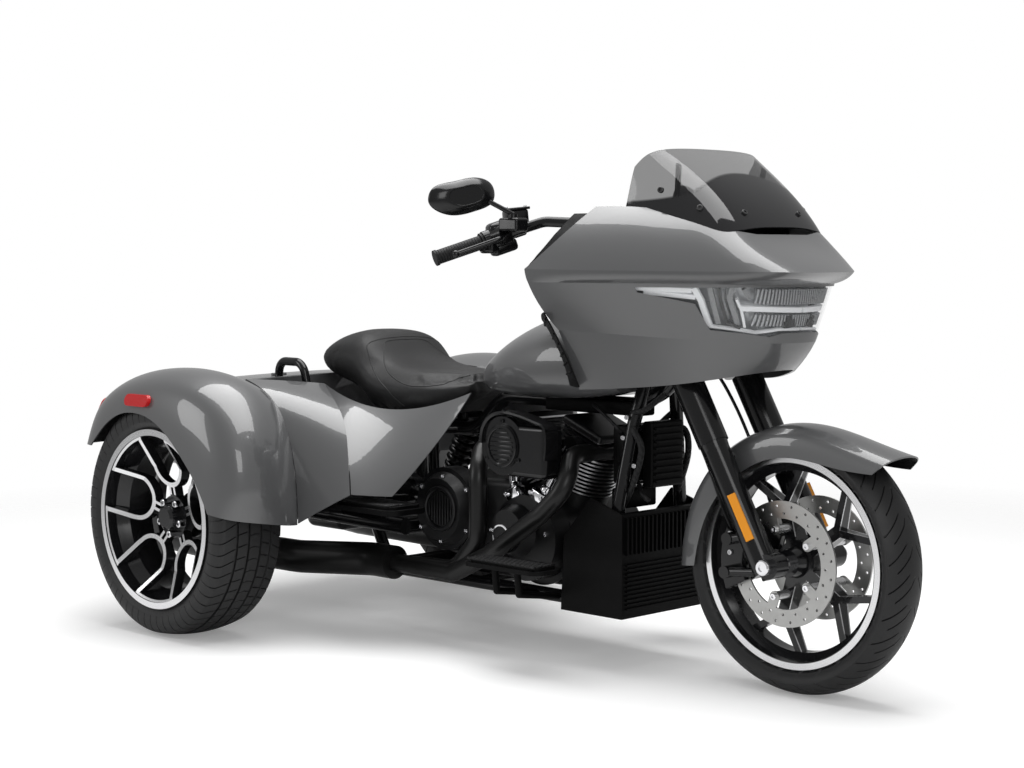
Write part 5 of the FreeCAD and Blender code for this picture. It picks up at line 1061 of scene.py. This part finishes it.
# Behind the downtubes: the wiring box, a regulator with fins and a tray, moulded and screwed to the
# frame, and the rubber hoses and wires that run round them with their clips.
clutter = [
    rounded_box((0.412, 0.0, 0.540), (0.066, 0.150, 0.150), 0.008),
    rounded_box((0.405, -0.020, 0.430), (0.050, 0.120, 0.050), 0.006),
    rounded_box((0.436, -0.088, 0.560), (0.040, 0.022, 0.070), 0.004),
    rounded_box((0.265, 0.0, 0.654), (0.330, 0.066, 0.036), 0.006),
]
for k in range(6):
    clutter.append(rounded_box((0.460, -0.0875, 0.532 + 0.0112 * k), (0.012, 0.020, 0.0045), 0.001))
united("wiring_box", clutter, "chassis", satin_plastic)
ROUTES = (
    (0.0075, [
        (0.432, -0.060, 0.610), (0.455, -0.085, 0.648), (0.500, -0.090, 0.660), (0.540, -0.060, 0.700)
    ]),
    (0.0085, [
        (0.440, -0.050, 0.600), (0.470, -0.098, 0.610), (0.492, -0.092, 0.560),
        (0.470, -0.100, 0.470), (0.420, -0.090, 0.400)
    ]),
    (0.0075, [
        (0.420, 0.060, 0.610), (0.455, 0.085, 0.648), (0.500, 0.090, 0.655), (0.540, 0.060, 0.700)
    ]),
    (0.0085, [
        (0.440, 0.050, 0.600), (0.470, 0.098, 0.600), (0.490, 0.092, 0.540), (0.450, 0.100, 0.440)
    ]),
    (0.005, [
        (0.430, -0.070, 0.520), (0.458, -0.110, 0.500), (0.448, -0.112, 0.430), (0.400, -0.100, 0.360)
    ]),
    (0.0045, [
        (0.425, -0.068, 0.580), (0.410, -0.104, 0.620), (0.360, -0.098, 0.650), (0.300, -0.060, 0.660)
    ]),
    (0.006, [(0.440, -0.045, 0.480), (0.482, -0.080, 0.450), (0.500, -0.070, 0.430)]),
)
hoses = [hose(smooth_path(route, 8), radius) for radius, route in ROUTES]
united("engine_hoses", hoses, "chassis", grip_rubber)
CLIPS = ((0.440, -0.100, 0.588), (0.452, -0.100, 0.640), (0.478, -0.101, 0.520), (0.444, -0.116, 0.470))
clips = [(place, (0.35, -0.94, 0), 0.0058, 0.008) for place in CLIPS]
screws("hose_clips", "chassis", steel, clips)

# Mirrors: silvered glass bedded in the two black moulded shells, facing the rider. Each stalk is
# screwed to the bar.
GLASS = (0.72, 0.74, 0.75)
mirror_black = Paint("mirror_shell", ENAMEL_BLACK, 0.2, specular=0.4)
ahead, aside, upward = mirror_black.axes("Normal")
glass_share = (-1.0 * ahead).over(0.94, 0.02) * abs(upward).under(0.06, 0.02)
mirror_black.put("Base Color", mirror_black.blend(glass_share, ENAMEL_BLACK, GLASS))
mirror_black.put("Metallic", glass_share)
mirror_black.put("Roughness", (1.0 - glass_share) * 0.16 + 0.03)
dress(mirror_black, "mirrors")

# Dash: a flat display between four round dials, glazed and set in black bezels, all let into the
# moulding behind the windscreen.
DASH_BACK = 0.5855
DASH_HEIGHT = 1.106
DIALS = (0.125, 0.185)
DIAL_BLACK = (0.01, 0.01, 0.012)
TICK_WHITE = (0.7, 0.7, 0.7)
bezel_rim = rim((0.0215, 0.0228, 0.0258, 0.0268), (-0.002, 0.003, 0.005))
dials = []
bezels = []
for y in (-DIALS[1], -DIALS[0], *DIALS):
    bezels.append(turned_ring((DASH_BACK, y, DASH_HEIGHT), (-1, 0, 0), bezel_rim, 40))
    dial = fresh(bpy.ops.mesh.primitive_cylinder_add, vertices=40, radius=0.0218, depth=0.004)
    dial.location = (DASH_BACK - 0.001, y, DASH_HEIGHT)
    dial.rotation_euler = (0, math.pi / 2, 0)
    dials.append(bevelled(dial, 0.0006))
dials.append(rounded_box((DASH_BACK - 0.001, 0, DASH_HEIGHT), (0.005, 0.172, 0.050), 0.002))
for y, rise, width, height in (
    (0, 0.027, 0.184, 0.006),
    (0, -0.027, 0.184, 0.006),
    (0.089, 0, 0.006, 0.058),
    (-0.089, 0, 0.006, 0.058),
):
    bezels.append(rounded_box((DASH_BACK - 0.002, y, DASH_HEIGHT + rise), (0.009, width, height), 0.0015))
dial_glass = Paint("dial_glass", DIAL_BLACK, 0.08)
x, y, z = dial_glass.axes()
dial_off = abs(abs(y) - (DIALS[0] + DIALS[1]) / 2) - (DIALS[1] - DIALS[0]) / 2
dial_up = z - DASH_HEIGHT
reach = (dial_off * dial_off + dial_up * dial_up).math("SQRT")
tick_band = reach.over(0.015, 0.0004) * reach.under(0.019, 0.0004) * abs(y).over(0.1, 0.001)
ticks = (dial_up.math("ARCTAN2", dial_off) * 20.0).math("COSINE").over(0.75, 0.1) * tick_band
dial_glass.put("Base Color", dial_glass.blend(ticks, DIAL_BLACK, TICK_WHITE))
united("dials", dials, "chassis", dial_glass)
united("dial_bezels", bezels, "chassis", gloss_black)

# The studio: a pale floor that keeps the shadow and fades out, a white surround, and three soft
# lamps, overhead and at both sides of the camera.
floor = fresh(bpy.ops.mesh.primitive_plane_add, size=24)
floor.name = "floor"
floor_paint = Paint("floor", (0.86, 0.86, 0.86), 0.75, specular=0.15)
x, y, z = floor_paint.axes()
floor_paint.put("Alpha", (x * x + y * y).math("SQRT").under(2.9, 2.4))
sight = Sock(floor_paint.tree, floor_paint.node("LightPath").outputs["Is Camera Ray"])
floor_paint.put("Emission Color", floor_paint.blend(sight, (0, 0, 0), (1, 1, 1)))
floor_paint.put("Emission Strength", 0.22)
floor.data.materials.append(floor_paint.material)

world = bpy.data.worlds.new("studio")
bpy.context.scene.world = world
world.use_nodes = True
tree = world.node_tree
background = tree.nodes["Background"]
path = tree.nodes.new("ShaderNodeLightPath")
kinds = ("Camera", "Transmission", "Glossy")
seen, through, glossy = (Sock(tree, path.outputs["Is " + kind + " Ray"]) for kind in kinds)
brightness = (seen + through).math("MINIMUM", 1.0) * 0.66 + glossy * 0.06 + 0.34
background.inputs["Color"].default_value = (1, 1, 1, 1)
tree.links.new(brightness.link, background.inputs["Strength"])


def soft_lamp(name, place, aim_at, size, power):
    data = bpy.data.lights.new(name, "AREA")
    data.shape = "RECTANGLE"
    data.size, data.size_y = size
    data.energy = power
    lamp = bpy.data.objects.new(name, data)
    bpy.context.scene.collection.objects.link(lamp)
    lamp.location = place
    lamp.rotation_euler = (Vector(aim_at) - lamp.location).to_track_quat("-Z", "Y").to_euler()


soft_lamp("overhead", (-0.1, 0.1, 3.6), (-0.1, 0, 0), (4.2, 2.6), 165)
soft_lamp("front_side", (3.6, -2.6, 2.3), (0, 0, 0.6), (1.6, 2.2), 38)
soft_lamp("rear_side", (-2.6, -3.6, 2.0), (-0.6, 0, 0.5), (1.4, 2.0), 30)

bpy.context.scene.view_settings.view_transform = "Standard"
